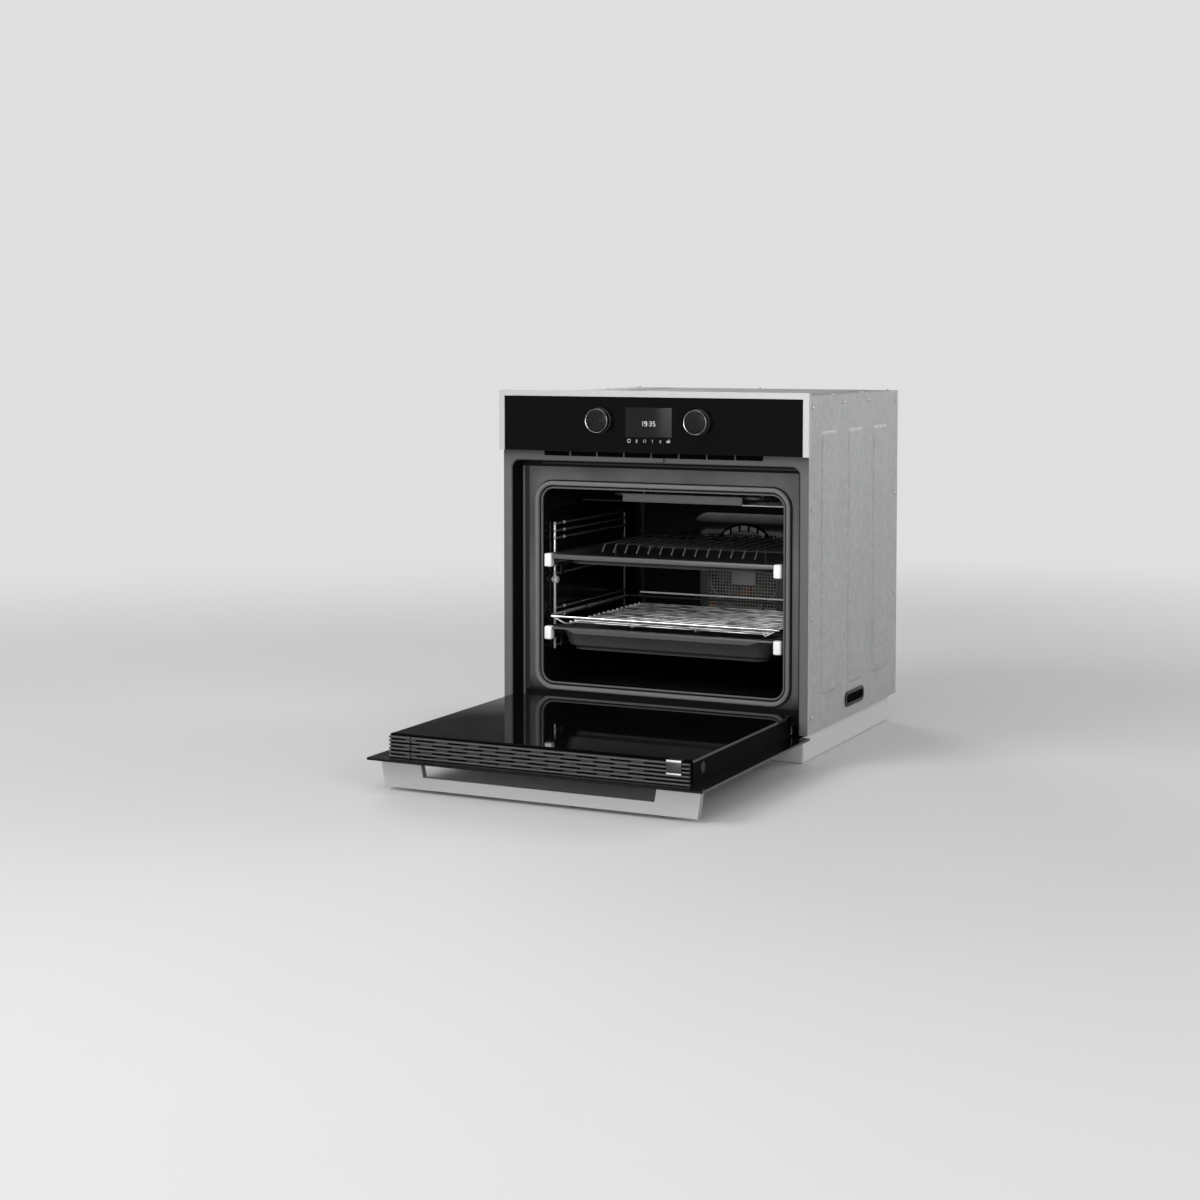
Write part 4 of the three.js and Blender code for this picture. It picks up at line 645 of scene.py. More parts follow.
def smoothing():
    """A modifier's node group that shades shallow edges smooth and leaves sharp ones sharp."""
    group = bpy.data.node_groups.new("smooth_shallow_edges", "GeometryNodeTree")
    for way in ("INPUT", "OUTPUT"):
        group.interface.new_socket("Geometry", in_out=way, socket_type="NodeSocketGeometry")
    tree = Nodes(group)
    shape = tree.node("NodeGroupInput")
    shallow = tree.node("FunctionNodeCompare", {"data_type": "FLOAT", "operation": "LESS_THAN"}, {
        0: tree.node("GeometryNodeInputMeshEdgeAngle"), 1: math.radians(32)})
    faces = tree.node("GeometryNodeSetShadeSmooth", {"domain": "FACE"}, {0: shape, "Shade Smooth": True})
    edges = tree.node("GeometryNodeSetShadeSmooth", {"domain": "EDGE"},
                      {0: faces, "Shade Smooth": shallow})
    tree.node("NodeGroupOutput", inputs={0: edges})
    return group


SMOOTHING = smoothing()


def dress(finish, edge, *nodes):
    """Gives parts as modelled their finish, and eases their edges by a width in millimetres."""
    for name in nodes:
        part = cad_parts[name]
        part.data.materials.clear()
        part.data.materials.append(finish.material)
        easing = part.modifiers.new("eased_edges", "BEVEL")
        easing.width = edge * MM
        easing.segments = 2
        easing.limit_method = "ANGLE"
        easing.angle_limit = math.radians(40)
        part.modifiers.new("smooth", "NODES").node_group = SMOOTHING
        part.modifiers.new("even_shading", "WEIGHTED_NORMAL").keep_sharp = True


def both(pair):
    """The left and right names of a part, each with its side's sign."""
    return [(pair + "_left", -1), (pair + "_right", 1)]


# ---------------------------------------------------------------- casing
def pan_screw(blank, centre, axis, radius):
    """A pan-head screw with a cross slot, seated at a point."""
    blank.turned([(radius, 0), (radius, 0.7), (radius * 0.8, 1.7), (radius * 0.45, 2.2)], centre, axis, 20)
    centre, axis = Vector(centre), Vector(axis)
    across = axis.orthogonal().normalized()
    for way in (across, axis.cross(across)):
        side = axis.cross(way)
        head = centre + axis * 2.1
        corners = [(-1, -1), (1, -1), (1, 1), (-1, 1)]
        ring = [head + way * a * radius * 0.42 + side * b * radius * 0.1 for a, b in corners]
        blank.loft([ring, [point + axis * 0.16 for point in ring]])


def screw_set(name, places, axis, radius=3.4, finish=SCREW):
    """All the screws of one sheet, with their heads facing along an axis."""
    screws = Blank()
    for place in places:
        pan_screw(screws, place, axis, radius)
    screws.made(name, finish, "oven_body", "galvanised")


def pressed_rib(blank, a0, a1, b0, b1, plane, c, height, radius=9):
    """A long bead pressed out of a sheet, with sloping sides."""
    slope = abs(height) * 2.2
    rings = [(0, 0), (slope * 0.35, height * 0.2), (slope, height * 0.9), (slope * 1.5, height)]
    place = PLANES[plane]
    blank.loft([[place(a, b, c + rise) for a, b in
                 rounded(a0 + inset, a1 - inset, b0 + inset, b1 - inset, radius - inset * 0.5)]
                for inset, rise in rings])


def side_panels():
    for name, side in both("side_panel"):
        panel = Span(name)
        face = panel.x1 if side > 0 else panel.x0
        ribs = Blank()
        low, high = panel.z0 + 60, panel.z1 - 62
        for y in (panel.y0 + 105, panel.y, panel.y1 - 105):
            pressed_rib(ribs, y - 42, y + 42, low, high, "YZ", face, side * 1.8)
        ribs.made(name + "_ribs", ZINC, "oven_body", "galvanised")
        edges = product([face], (panel.y0 + 16, panel.y1 - 16), (28, 200, 390, panel.z1 - 20))
        top = product([face], (panel.y - 70, panel.y + 70), [panel.z1 - 14])
        screw_set(name + "_screws", [*edges, *top], (side, 0, 0))
        handhold = Blank()
        grip = rounded(panel.y - 52, panel.y + 52, 18, 46, 13)
        hole = rounded(panel.y - 46, panel.y + 46, 24, 40, 7.5)
        handhold.plate([grip, hole], "YZ", face, face + side * 2.2, 0.6)
        handhold.made(name + "_handhold_rim", BLACK, "oven_body", "black_plastic")
        dark = Blank().plate([rounded(panel.y - 47, panel.y + 47, 23, 41, 8)], "YZ", face,
                             face + side * 0.4)
        dark.made(name + "_handhold", DARK, "oven_body", "black_plastic")


def back_details():
    panel = Span("back_panel")
    cover = Blank()
    pressed_rib(cover, -118, 118, 142, 342, "XZ", panel.y1, 6.5, 24)
    cover.made("fan_cover_pressing", ZINC, "oven_body", "galvanised")
    ribs = Blank()
    for x in (-222, 222):
        pressed_rib(ribs, x - 22, x + 22, 52, 350, "XZ", panel.y1, 2.2)
    pressed_rib(ribs, -118, 118, 52, 104, "XZ", panel.y1, 2.2)
    pressed_rib(ribs, 60, 245, 500, 556, "XZ", panel.y1, 2.2)
    ribs.made("back_panel_ribs", ZINC, "oven_body", "galvanised")
    lips = Blank()
    hood_foot, hood_pitch = 380, 16
    for side, i in product((-1, 1), range(5)):
        x, z = side * 72, hood_foot + i * hood_pitch
        lip = [(panel.y1 - 0.2, z + 7.6), (panel.y1 + 3.4, z + 3.2), (panel.y1 + 3.8, z + 3.6),
               (panel.y1 + 0.2, z + 8.4)]
        lips.loft([[Vector((end, y, h)) for y, h in lip] for end in (x - 59, x + 59)])
    lips.made("back_louvre_hoods", ZINC, "oven_body", "galvanised")
    sides = product((-265, 265), [panel.y1], (16, 150, 300, 450, 570))
    ends = product((-90, 0, 90), [panel.y1], (16, 572))
    screw_set("back_panel_screws", [*sides, *ends], (0, 1, 0))


def top_details():
    cover = Span("top_cover")
    ribs = Blank()
    for x in (-205, 205):
        pressed_rib(ribs, x - 38, x + 38, cover.y0 + 60, cover.y1 - 50, "XY", cover.z1, 1.8)
    pressed_rib(ribs, -130, 130, cover.y0 + 60, cover.y0 + 240, "XY", cover.z1, 1.8, 14)
    ribs.made("top_cover_ribs", ZINC, "oven_body", "galvanised")
    ends = product((-262, 0, 262), (cover.y0 + 14, cover.y1 - 14), [cover.z1])
    sides = product((-262, 262), (cover.y - 80, cover.y + 80), [cover.z1])
    screw_set("top_cover_screws", [*ends, *sides], (0, 0, 1))


def terminal_cover():
    block = Span("terminal_block")
    cover = Blank()
    cover.box(block.x0, block.x1, block.y0, block.y1 - 2.5, block.z0, block.z1, 1.6)
    cover.box(block.x0 + 3, block.x1 - 3, block.y1 - 4, block.y1, block.z0 + 5, block.z1 - 3, 1.2)
    for i in range(5):
        x = block.x - 20 + i * 10
        cover.box(x - 1, x + 1, block.y1 - 1.2, block.y1, block.z0 + 9, block.z1 - 9, 0.4)
    cover.made("terminal_cover", BLACK, "oven_body", "black_plastic", "terminal_block")
    gland = Blank()
    gland.turned([(8.6, 1.5), (8.6, -3), (7.6, -4.2), (5.4, -4.2), (5.4, -0.5)],
                 (block.x, block.y0 + block.depth / 2, block.z0), (0, 0, 1), 40)
    gland.made("cable_gland", KNOB_SIDE, "oven_body", "black_plastic")
    places = product((block.x - 27, block.x + 27), [block.y1 - 2.3], [block.z])
    screw_set("terminal_cover_screws", places, (0, 1, 0), 2.6)


dress(ZINC, 0.35, "base_pan", "side_panel_left", "side_panel_right", "back_panel", "top_cover",
      "control_housing")
dress(ZINC, 0.3, "air_duct", "blower_housing", "blower_motor")
# painted shade: the fan behind the screen is near-black, standing for the shade there
dress(FAN_SHADE_BLACK, 0.3, "fan_impeller", "fan_motor")
dress(WOOL, 2, "insulation_blanket")
dress(BOARD, 0.2, "control_board")
dress(CERAMIC, 0.6, "lamp_socket")
dress(BLACK, 0.5, "display_module")
dress(BLACK, 0.3, "blower_rotor")
side_panels()
back_details()
top_details()
terminal_cover()


# ---------------------------------------------------------------- front frame and cavity
front = Span("front_frame")
FRAME_SHEET = 1.5
RECESS_HALF, RECESS_TOP, RECESS_CORNER = 277.5, 467.5, 15
FLANGE_HALF, FLANGE_TOP, FLANGE_FACE = 262, 454.8, Span("oven_muffle").y0
SLOT_LOW, SLOT_HIGH, SLOT_HALF, SLOT_COUNT, SLOT_RIB = 477, 485.6, 212, 8, 2.4
MOUTH_HALF, MOUTH_LOW, MOUTH_HIGH = 240, 56.5, 418.5


def frame_face():
    """The flat face round the recess, with the row of air slots along its top."""
    reach = RECESS_HALF + 3
    inner = arch(reach, RECESS_TOP + 3, front.z0 + 8, RECESS_CORNER + 3)
    outer = [(front.x1, front.z0 + 8), (front.x1, front.z1), (front.x0, front.z1), (front.x0, front.z0 + 8)]
    pitch = 2 * SLOT_HALF / SLOT_COUNT
    starts = [-SLOT_HALF + i * pitch for i in range(SLOT_COUNT)]
    slots = [rounded(a + SLOT_RIB / 2, a + pitch - SLOT_RIB / 2, SLOT_LOW, SLOT_HIGH, 0.8, 2)
             for a in starts]
    return Blank().plate([inner + outer, *slots], "XZ", front.y0, front.y0 + FRAME_SHEET)


def recess_foot(y, lift):
    """How low a recess wall reaches: its front ends higher, to leave room for the door's swing."""
    return front.z0 + (8 if y < front.y0 + 14 else lift)


def recess_section(out, y, lift):
    """The recess's arch some way out from its walls, at one depth."""
    return arch(RECESS_HALF + out, RECESS_TOP + out, recess_foot(y, lift), RECESS_CORNER + max(out, -10)), y


def recess_walls(blank):
    """The recess's sides and top, drawn from the face with a small radius front and back."""
    sheet, back = FRAME_SHEET, front.y1
    eased = [(3 - 3 * math.sin(t), front.y0 + 3 - 3 * math.cos(t))
             for t in angles(15, 7)]
    tucked = [(-5 * (1 - math.cos(t)), back - sheet - 5 + 5 * math.sin(t)) for t in angles(18, 6)]
    shell = [*eased, *tucked, (-24, back - sheet), (-24, back), (-3, back), (sheet, back - 3),
             (sheet, front.y0 + 4), (3, front.y0 + sheet)]
    blank.strip([recess_section(out, y, 0) for out, y in shell], "XZ")
    blank.box(-RECESS_HALF, RECESS_HALF, front.y0 + 14, back, front.z0, front.z0 + sheet, 0.3)
    return blank.box(-RECESS_HALF, RECESS_HALF, back - sheet, back, front.z0, 50, 0.3)


def recess_shade_skin():
    """Painted shade on the recess's walls: a thin near-black skin a little inside them, with more of it on
    the recess floor and below the gasket.
    """
    back = front.y1 - FRAME_SHEET

    def skin(lift):
        bend = [(-5 + (5 - lift) * math.cos(t), back - 5 + (5 - lift) * math.sin(t))
                for t in angles(18, 6)]
        return [(-lift, front.y0 + 3.6), *bend, (-23, back - lift)]

    section = skin(0.1) + skin(0.4)[::-1]
    shade_skin = Blank().strip([recess_section(out, y, 1.7) for out, y in section], "XZ")
    half = RECESS_HALF - 0.4
    # painted shade: near-black skins on the recess floor and below the gasket
    shade_skin.box(-half, half, front.y0 + 14, back, front.z0 + 1.6, front.z0 + 2)
    shade_skin.box(-half, half, FLANGE_FACE - 0.4, FLANGE_FACE - 0.1, front.z0 + 1.8, 44)
    shade_skin.made("recess_shade_skin", RECESS_SHADE_BLACK, "oven_body", "frame_grey")
    # painted shade: a near-black sheet just behind the air slots, where the slots fall into shade
    shadow = Blank().box(-SLOT_HALF - 2, SLOT_HALF + 2, front.y0 + FRAME_SHEET + 0.06,
                         front.y0 + FRAME_SHEET + 0.24, SLOT_LOW - 2, SLOT_HIGH + 0.4)
    shadow.made("air_slot_shade", DARK, "oven_body", "black_plastic")
    # painted shade: dark strips along the grooves beside and above the flange
    grooves = Blank()
    for side in (-1, 1):
        grooves.box(side * (FLANGE_HALF + 0.2), side * 269.6, back - 0.9, back - 0.5, 20, FLANGE_TOP)
    grooves.box(-236, FLANGE_HALF, back - 2, back - 0.5, FLANGE_TOP + 4.5, FLANGE_TOP + 8, 0.4)
    grooves.made("recess_groove_shades", GROOVE_SHADE, "oven_body", "frame_grey")
    beads = Blank()
    for side in (-1, 1):
        beads.box(side * 270.2, side * 275.2, back - 4.4, back, 24, FLANGE_TOP + 0.6, 1.9, 4)
    beads.made("recess_beads", FRAME_PAINT, "oven_body", "frame_grey")


def cavity():
    """The enamelled box behind its painted flange, with rounded rear corners."""
    shell = Span("oven_muffle")
    sheet, fillet, y0, y1 = 1.0, 20, shell.y0, shell.y1

    def ring(grown, radius):
        half = MOUTH_HALF + grown
        return rounded(-half, half, MOUTH_LOW - grown, MOUTH_HIGH + grown, radius, 10)

    rear = [(ring(-fillet * (1 - math.cos(t)), 26), y1 - sheet - fillet + fillet * math.sin(t))
            for t in angles(15, 7)]
    walls = [(ring(sheet, 27), y1), (ring(sheet, 27), y0 + 1.6), (ring(0, 26), y0 + 1.6), *rear]
    place = PLANES["XZ"]
    blank = Blank().loft([[place(a, b, y) for a, b in outline] for outline, y in walls])
    blank.made("cavity_shell", CAVITY_ENAMEL, "oven_body", "black_enamel", "oven_muffle")
    flange = Blank().plate([rounded(-FLANGE_HALF, FLANGE_HALF, shell.z0, FLANGE_TOP, 4),
                            ring(0.2, 26)], "XZ", y0, y0 + 1.5, 0.3)
    flange.made("cavity_flange", FLANGE_PAINT, "oven_body", "frame_grey")


def cavity_pressings():
    """The shallow panel pressed up out of the cavity floor, and the beads on its side walls."""
    floor = Blank()
    pressed_rib(floor, -178, 178, -205, 105, "XY", MOUTH_LOW, 1.6, 34)
    for side, z in product((-1, 1), (96, 366)):
        pressed_rib(floor, -190, 120, z - 7, z + 7, "YZ", side * MOUTH_HALF, side * -2.4, 6.5)
    floor.made("cavity_pressings", CAVITY_ENAMEL, "oven_body", "black_enamel")


gasket = Span("door_gasket")


def mouth_ring(half):
    """The rounded outline round the cavity mouth at a distance from the oven's middle."""
    gap = gasket.x1 - half
    return rounded(-half, half, gasket.z0 + gap, gasket.z1 - gap, 38.5 - gap, 12)


def round_mouth(name, finish, slot, section, *replaced):
    """A piece of one section carried round the mouth, from its distances and depths."""
    Blank().sweep([(mouth_ring(place), y) for place, y in section], "XZ").made(
        name, finish, "oven_body", slot, *replaced)


def seal():
    """The braided sleeve over a channel painted near-black as shade round the mouth, and the mouth's rolled
    lip.
    """
    back, half, middle = gasket.y1, 4, 244
    dome = [(middle - half * math.cos(t), back - 2.4 - (gasket.depth - 2.4) * math.sin(t) ** 0.55)
            for t in angles(12, 16)]
    sleeve = [(middle - half, back), *dome, (middle + half, back)]
    round_mouth("braided_gasket", SEAL, "seal", sleeve, "door_gasket")
    # painted shade: a near-black ring standing for the shadow along the gasket's edges
    channel = [(236, back + 0.25), (236, back - 0.1), (250.2, back - 0.1), (250.2, back + 0.25)]
    round_mouth("gasket_shade_channel", RECESS_SHADE_BLACK, "seal", channel)
    roll = [(235.7 - 1.7 * math.cos(t), back - 0.4 - 1.7 * math.sin(t)) for t in angles(18, 11)]
    lip = [(234, back + 2), *roll, (237.4, back + 0.2), (236.2, back + 2)]
    round_mouth("mouth_lip", LIP_GREY, "frame_grey", lip)


frame_blank = frame_face()
recess_walls(frame_blank)
frame_blank.made("pressed_front_frame", FRAME_PAINT, "oven_body", "frame_grey", "front_frame")
recess_shade_skin()
dress(FRAME_PAINT, 0.6, "door_switch")
cavity()
cavity_pressings()
seal()


# ---------------------------------------------------------------- heating, fan and lamp
TUBE_RADIUS, TUBE_BEND = 3.25, 22


def hairpin(name, node, z, *line):
    """A tube bent alike on both sides, from the points of its right half, front first."""
    corners = [(-x, y, z) for x, y in reversed(line)] + [(x, y, z) for x, y in line]
    tube = Blank().wire(bent(corners, TUBE_BEND), TUBE_RADIUS)
    tube.made(name, TUBE, "oven_body", "element_steel", node)


def heating_tubes():
    """The grill's and the floor's hairpins, and the ring behind the fan screen with its two tails."""
    r = TUBE_RADIUS
    grill = Span("grill_element")
    hairpin("grill_tube", "grill_element", grill.z, (150, grill.y0 + r), (150, 105.4), (90, 105.4),
            (90, -109.6), (30, -109.6), (30, grill.y1))
    lower = Span("bottom_element")
    hairpin("floor_tube", "bottom_element", lower.z, (170, lower.y0 + r), (170, 140.4), (25, 140.4),
            (25, lower.y1))
    ring = Span("ring_element")
    radius, y = ring.width / 2 - r, ring.y0 + r
    loop = [(a, y, b) for a, b in circle(0, ring.z0 + radius + r, radius, 64)]
    tube = Blank().wire(loop, r, closed=True)
    for side in (-1, 1):
        tube.wire([(side * 12, y, ring.z1 - r), (side * 12, ring.y1 - 2, ring.z1 - r)], r)
    tube.made("ring_tube", TUBE, "oven_body", "element_steel", "ring_element")


def grill_shield():
    """The plate under the grill tube: open in the middle, turned up at the front, hung on four wires."""
    shield = Span("grill_shield")
    z = shield.z0
    plate = Blank().plate([rounded(shield.x0, shield.x1, shield.y0 + 1.6, shield.y1, 8),
                           rounded(-116, 116, shield.y0 + 12, shield.y1 - 12, 10)], "XY", z, z + 1.5, 0.4)
    plate.made("grill_shield_plate", SHIELD_STEEL, "oven_body", "element_steel", "grill_shield")
    rise = [(shield.y0 + 2, z), (shield.y0 + 0.5, z + 0.5), (shield.y0, z + 2), (shield.y0, z + 15.2),
            (shield.y0 + 1.5, z + 15.2), (shield.y0 + 1.5, z + 2.2), (shield.y0 + 2.4, z + 1.4)]
    lip = Blank().loft([[Vector((x, y, h)) for y, h in rise] for x in (-118, 118)])
    lip.made("grill_shield_lip", SHIELD_LIP, "oven_body", "element_steel")
    hangers = Blank()
    for x, y in product((-120, 120), (-56.6, 125.4)):
        hangers.wire([(x, y, z + 2), (x, y, shield.z1 - 1.8)], 1.8)
    hangers.made("grill_shield_hangers", RING, "oven_body", "element_steel")


def fan_screen():
    """The domed screen in front of the fan, with its fine square perforations."""
    screen = Span("fan_baffle")
    x, z, y0, y1 = screen.x, screen.z, screen.y0, screen.y1
    flat_w, flat_h = 88, 78
    slope = [(0, 0), (3, 0.4), (6, 1.6), (24, 24), (27, 26.6), (30, y1 - y0)]

    def outline(out):
        return rounded(x - flat_w - out, x + flat_w + out, z - flat_h - out, z + flat_h + out,
                       14 + out * 0.8, 8)

    outer = [(outline(out), y0 + back) for out, back in slope]
    inner = [(outline(out), y0 + back + 1) for out, back in reversed(slope[:-1])]
    dome = Blank().sweep([*outer, *inner], "XZ")
    dome.made("fan_screen_dome", SCREEN, "oven_body", "black_enamel", "fan_baffle")
    pitch, half, reach = 6.2, 2.05, 11
    holes = []
    for i, j in product(range(-reach, reach + 1), repeat=2):
        a, b = x + i * pitch, z + j * pitch
        behind_plate = -23 < a < 28 and 206 < b < 260
        if not behind_plate:
            holes.append([(a - half, b - half), (a + half, b - half),
                          (a + half, b + half), (a - half, b + half)])
    sheet = Blank().plate([outline(0), *holes], "XZ", y0, y0 + 0.8)
    sheet.made("perforated_fan_screen", SCREEN_MESH, "oven_body", "black_enamel")
    centre = Blank().plate([rounded(x - 22, x + 27, 207.5, 258, 2.5)], "XZ", y0 - 1.6, y0, 0.5)
    centre.made("fan_screen_plate", SCREEN_PLATE, "oven_body", "black_enamel")
    hub_x, hub_z = x + 5, 262

    def band(turns, low, high):
        """A curved strip round the hub, between two ellipses given as (across, up)."""
        lower, upper = ([(hub_x + across * math.cos(t), hub_z + up * math.sin(t)) for t in turns]
                        for across, up in (low, high))
        return [upper + lower[::-1]]

    opening = [math.radians(28 + 124 * i / 24) for i in range(25)]
    # painted shade: the hood's opening is a near-black plate standing for the shade behind it
    hood = Blank().plate(band(opening, (66, 50), (68, 66)), "XZ", y0 - 1.0, y0 + 0.4)
    hood.made("air_hood_opening", DARK, "oven_body", "black_enamel")
    vanes = Blank()
    for i in range(5):
        start = math.radians(50 + i * 17)
        part = [start + math.radians(13) * k / 5 for k in range(6)]
        vanes.plate(band(part, (64, 51), (66, 61)), "XZ", y0 - 1.9, y0 - 1.2, 0.3)
    vanes.made("air_hood_vanes", VANE_GREY, "oven_body", "black_enamel")
    corners = product((x - 99, x + 99), [y0 + 8], (z - 60, z + 60))
    screw_set("fan_screen_screws", corners, (0, -1, 0), 2.6, SCREW_BLACK)


def lamp():
    """The fluted lamp glass in the rear wall, with its screwed rim."""
    lens = Span("lamp_lens")
    profile = [(25.6, 0), (25.6, 3.4), (23.6, 4.2), (22.6, 9.5), (19, 12.2), (12, 12.9), (4, 13)]
    glass = Blank().turned(profile, (lens.x, lens.y1, lens.z), (0, -1, 0))
    for t in full_turn(16):
        x, z = lens.x + 24.4 * math.cos(t), lens.z + 24.4 * math.sin(t)
        glass.wire([(x, lens.y1 - 1, z), (x, lens.y1 - 3.2, z)], 1.4, 8)
    glass.made("lamp_glass", LENS, "oven_body", "clear_glass", "lamp_lens")


heating_tubes()
grill_shield()
fan_screen()
lamp()


# ---------------------------------------------------------------- racks, runners, trays and shelf
GRID_PITCH, GRID_FEET = 23.2, (-117.6, 68.4)
RUNG_HEIGHTS = (121, 134.5, 175, 190, 254, 268.5, 319, 332.5, 346)
NUT_HEIGHT = 242


def rack_frames():
    """Each side's rack: a pale front post, a dull rear one, the rungs, sleeves and a knurled nut, with the
    sleeves and nut in a bright copy of the wire as painted highlights.
    """
    for name, side in both("side_rack"):
        rack = Span(name)
        post_x, front_y, rear_y = side * 236, rack.y0 + 12, rack.y1 - 12
        rungs, spots, rear = Blank(), Blank(), Blank()
        post = Blank().wire([(post_x, front_y, rack.z0 + 1.5), (post_x, front_y, rack.z1 - 1.5)], 2.5)
        post.made(name + "_post", POST_WIRE, "oven_body", "chromed_wire")
        rear.wire([(post_x, rear_y, rack.z0 + 1.5), (post_x, rear_y, rack.z1 - 1.5)], 1.6)
        rear.made(name + "_rear_post", REAR_WIRE, "oven_body", "chromed_wire")
        for z in RUNG_HEIGHTS:
            rungs.wire(bent([
                (side * 231.6, rack.y0 + 2.2, z), (side * 231.6, front_y + 22, z),
                (side * 233.2, front_y + 30, z), (side * 233.2, rack.y1 - 2.2, z)], 6, 3), 2.2)
            spots.wire([(side * 232.2, front_y + 27.5, z), (side * 232.6, front_y + 33, z)], 2.7, 12)
            spots.wire([(side * 231.6, rack.y0 + 2.8, z), (side * 231.6, rack.y0 + 4, z)], 2.7, 12)
        rungs.made(name + "_wires", RUNG_WIRE, "oven_body", "chromed_wire", name)
        spots.made(name + "_sleeves", HIGHLIGHT_WIRE, "oven_body", "chromed_wire")
        nut = Blank().turned([(3.4, 0), (5.6, 0.3), (6.8, 1.6), (6.8, 5.6), (5.8, 6.6), (5.8, 10.4)],
                             (side * 229.1, front_y, NUT_HEIGHT), (side, 0, 0))
        for t in full_turn(18):
            y, z = front_y + 6.6 * math.cos(t), NUT_HEIGHT + 6.6 * math.sin(t)
            nut.wire([(side * 231.4, y, z), (side * 234.2, y, z)], 0.5, 6)
        nut.made(name + "_nut", HIGHLIGHT_WIRE, "oven_body", "chromed_wire")


def slide_rails():
    """The pull-out rail on each side of each tray, with its white stop in front."""
    for name, side in both("slide_upper") + both("slide_lower"):
        slide = Span(name)
        body = name.split("_")[1] + "_carriage"
        y, z, near = slide.y0 + 12.6, slide.z, side * 222.4
        rail = Blank()
        rail.box(near, side * 228.6, y, slide.y1, z - 8.6, z + 8.6, 1.1)
        rail.box(side * 213, side * 228.6, y, slide.y1, z + 6.6, z + 8.6, 0.5)
        rail.box(side * 213, side * 221.4, y, slide.y1, z + 6.6, z + 9.9, 0.6)
        for lift in (-4, 4):
            rail.box(near - side * 0.5, near + side * 0.4, y + 8, slide.y1 - 8,
                     z + lift - 1, z + lift + 1, 0.4)
        rail.made(name + "_rail", RAIL, body, "chromed_wire", name)
        stop = Blank()
        stop.box(side * 216, side * 230.5, slide.y0, slide.y0 + 14, slide.z0, slide.z1, 2.8, 4)
        stop.made(name + "_stop", STOP_WHITE, body, "chromed_wire")


def tray(name, body, flare, lip, lip_ends):
    """A pressed tray: a flat rim, a body with rounded walls, and an apron along its front, the body in a
    darker copy of the enamel as painted shade and the apron in a lighter one as painted light.
    """
    span = Span(name)
    top, low, sheet = span.z1, span.z0, 1.0
    half, grown, shoulder = 215.4, 1.2, span.y0 + 12.6
    corners = [(-half, span.y0 + 0.3), (half, span.y0 + 0.3), (half, shoulder), (span.x1, shoulder)]
    rear_corners = rounded(span.x0, span.x1, shoulder, span.y1, 10)[9:27]
    rim = [*corners, *rear_corners, (span.x0, shoulder), (-half, shoulder)]
    a0, a1, b0, b1 = -206, 206, span.y0 + 14, span.y1 - 10

    def ring(inset, z):
        return [PLANES["XY"](a, b, z) for a, b in
                rounded(a0 + inset, a1 - inset, b0 + inset, b1 - inset, 24, 10)]

    def wall(inner):
        """Insets and heights down the wall's inner face, or down its outer one a sheet away."""
        depth = top - low - inner - 0.4
        lean = [(-1.2, 0), (-0.5, 0.25), (0, 1.2), (flare * 0.8, depth - 9)]
        floor = [(flare * 0.8 + 8 * math.sin(t), depth - 8 * math.cos(t) - 0.2)
                 for t in (math.radians(15 * i) for i in range(1, 7))]
        return [(inset - (0 if inner else grown), top - down - (1 - inner))
                for inset, down in lean + floor]

    shell = Blank()
    inner = [ring(inset, z) for inset, z in wall(1)]
    outer = [ring(inset, z) for inset, z in wall(0)]
    shell.loft([*reversed(inner), *outer])
    mouth = rounded(a0 - grown, a1 + grown, b0 - grown, b1 + grown, 24, 10)
    shell.plate([rim, mouth], "XY", top - sheet, top)
    shell.made(name + "_pressing", TRAY_ENAMEL_SHADED, body, "black_enamel", name)
    ends = [(half, top - 0.2), (half, top - lip_ends), (188, top - lip_ends - 0.4), (168, top - lip)]
    outline = ends + [(-x, z) for x, z in reversed(ends)]
    apron = Blank().plate([outline], "XZ", span.y0 - 0.1, span.y0 + 1.6, 0.4)
    apron.made(name + "_apron", APRON_ENAMEL_LIT, body, "black_enamel")


def roasting_rack():
    """Bars whose front ends bend down to the tray, on two cross bars with short legs."""
    grid = Span("roasting_grid")
    radius, bars, drop = 1.6, 14, 13
    top = grid.z1 - radius
    rack = Blank()
    for i in range(bars):
        x = (i - (bars - 1) / 2) * GRID_PITCH
        rack.wire(bent([(x, grid.y0 + 1.2, top - drop), (x, grid.y0 + drop, top), (x, grid.y1 - 1, top)],
                       5, 4), radius, 10)
    feet = Blank()
    for y in GRID_FEET:
        feet.wire(bent([(-150, y, grid.z0 + 1.3), (-150, y, top - 3.2), (150, y, top - 3.2),
                        (150, y, grid.z0 + 1.3)], 5, 5), 1.7, 10)
    rack.made("roasting_rack", GRID_WIRE, "upper_carriage", "chromed_wire", "roasting_grid")
    feet.made("roasting_rack_feet", SHADED_WIRE, "upper_carriage", "chromed_wire")


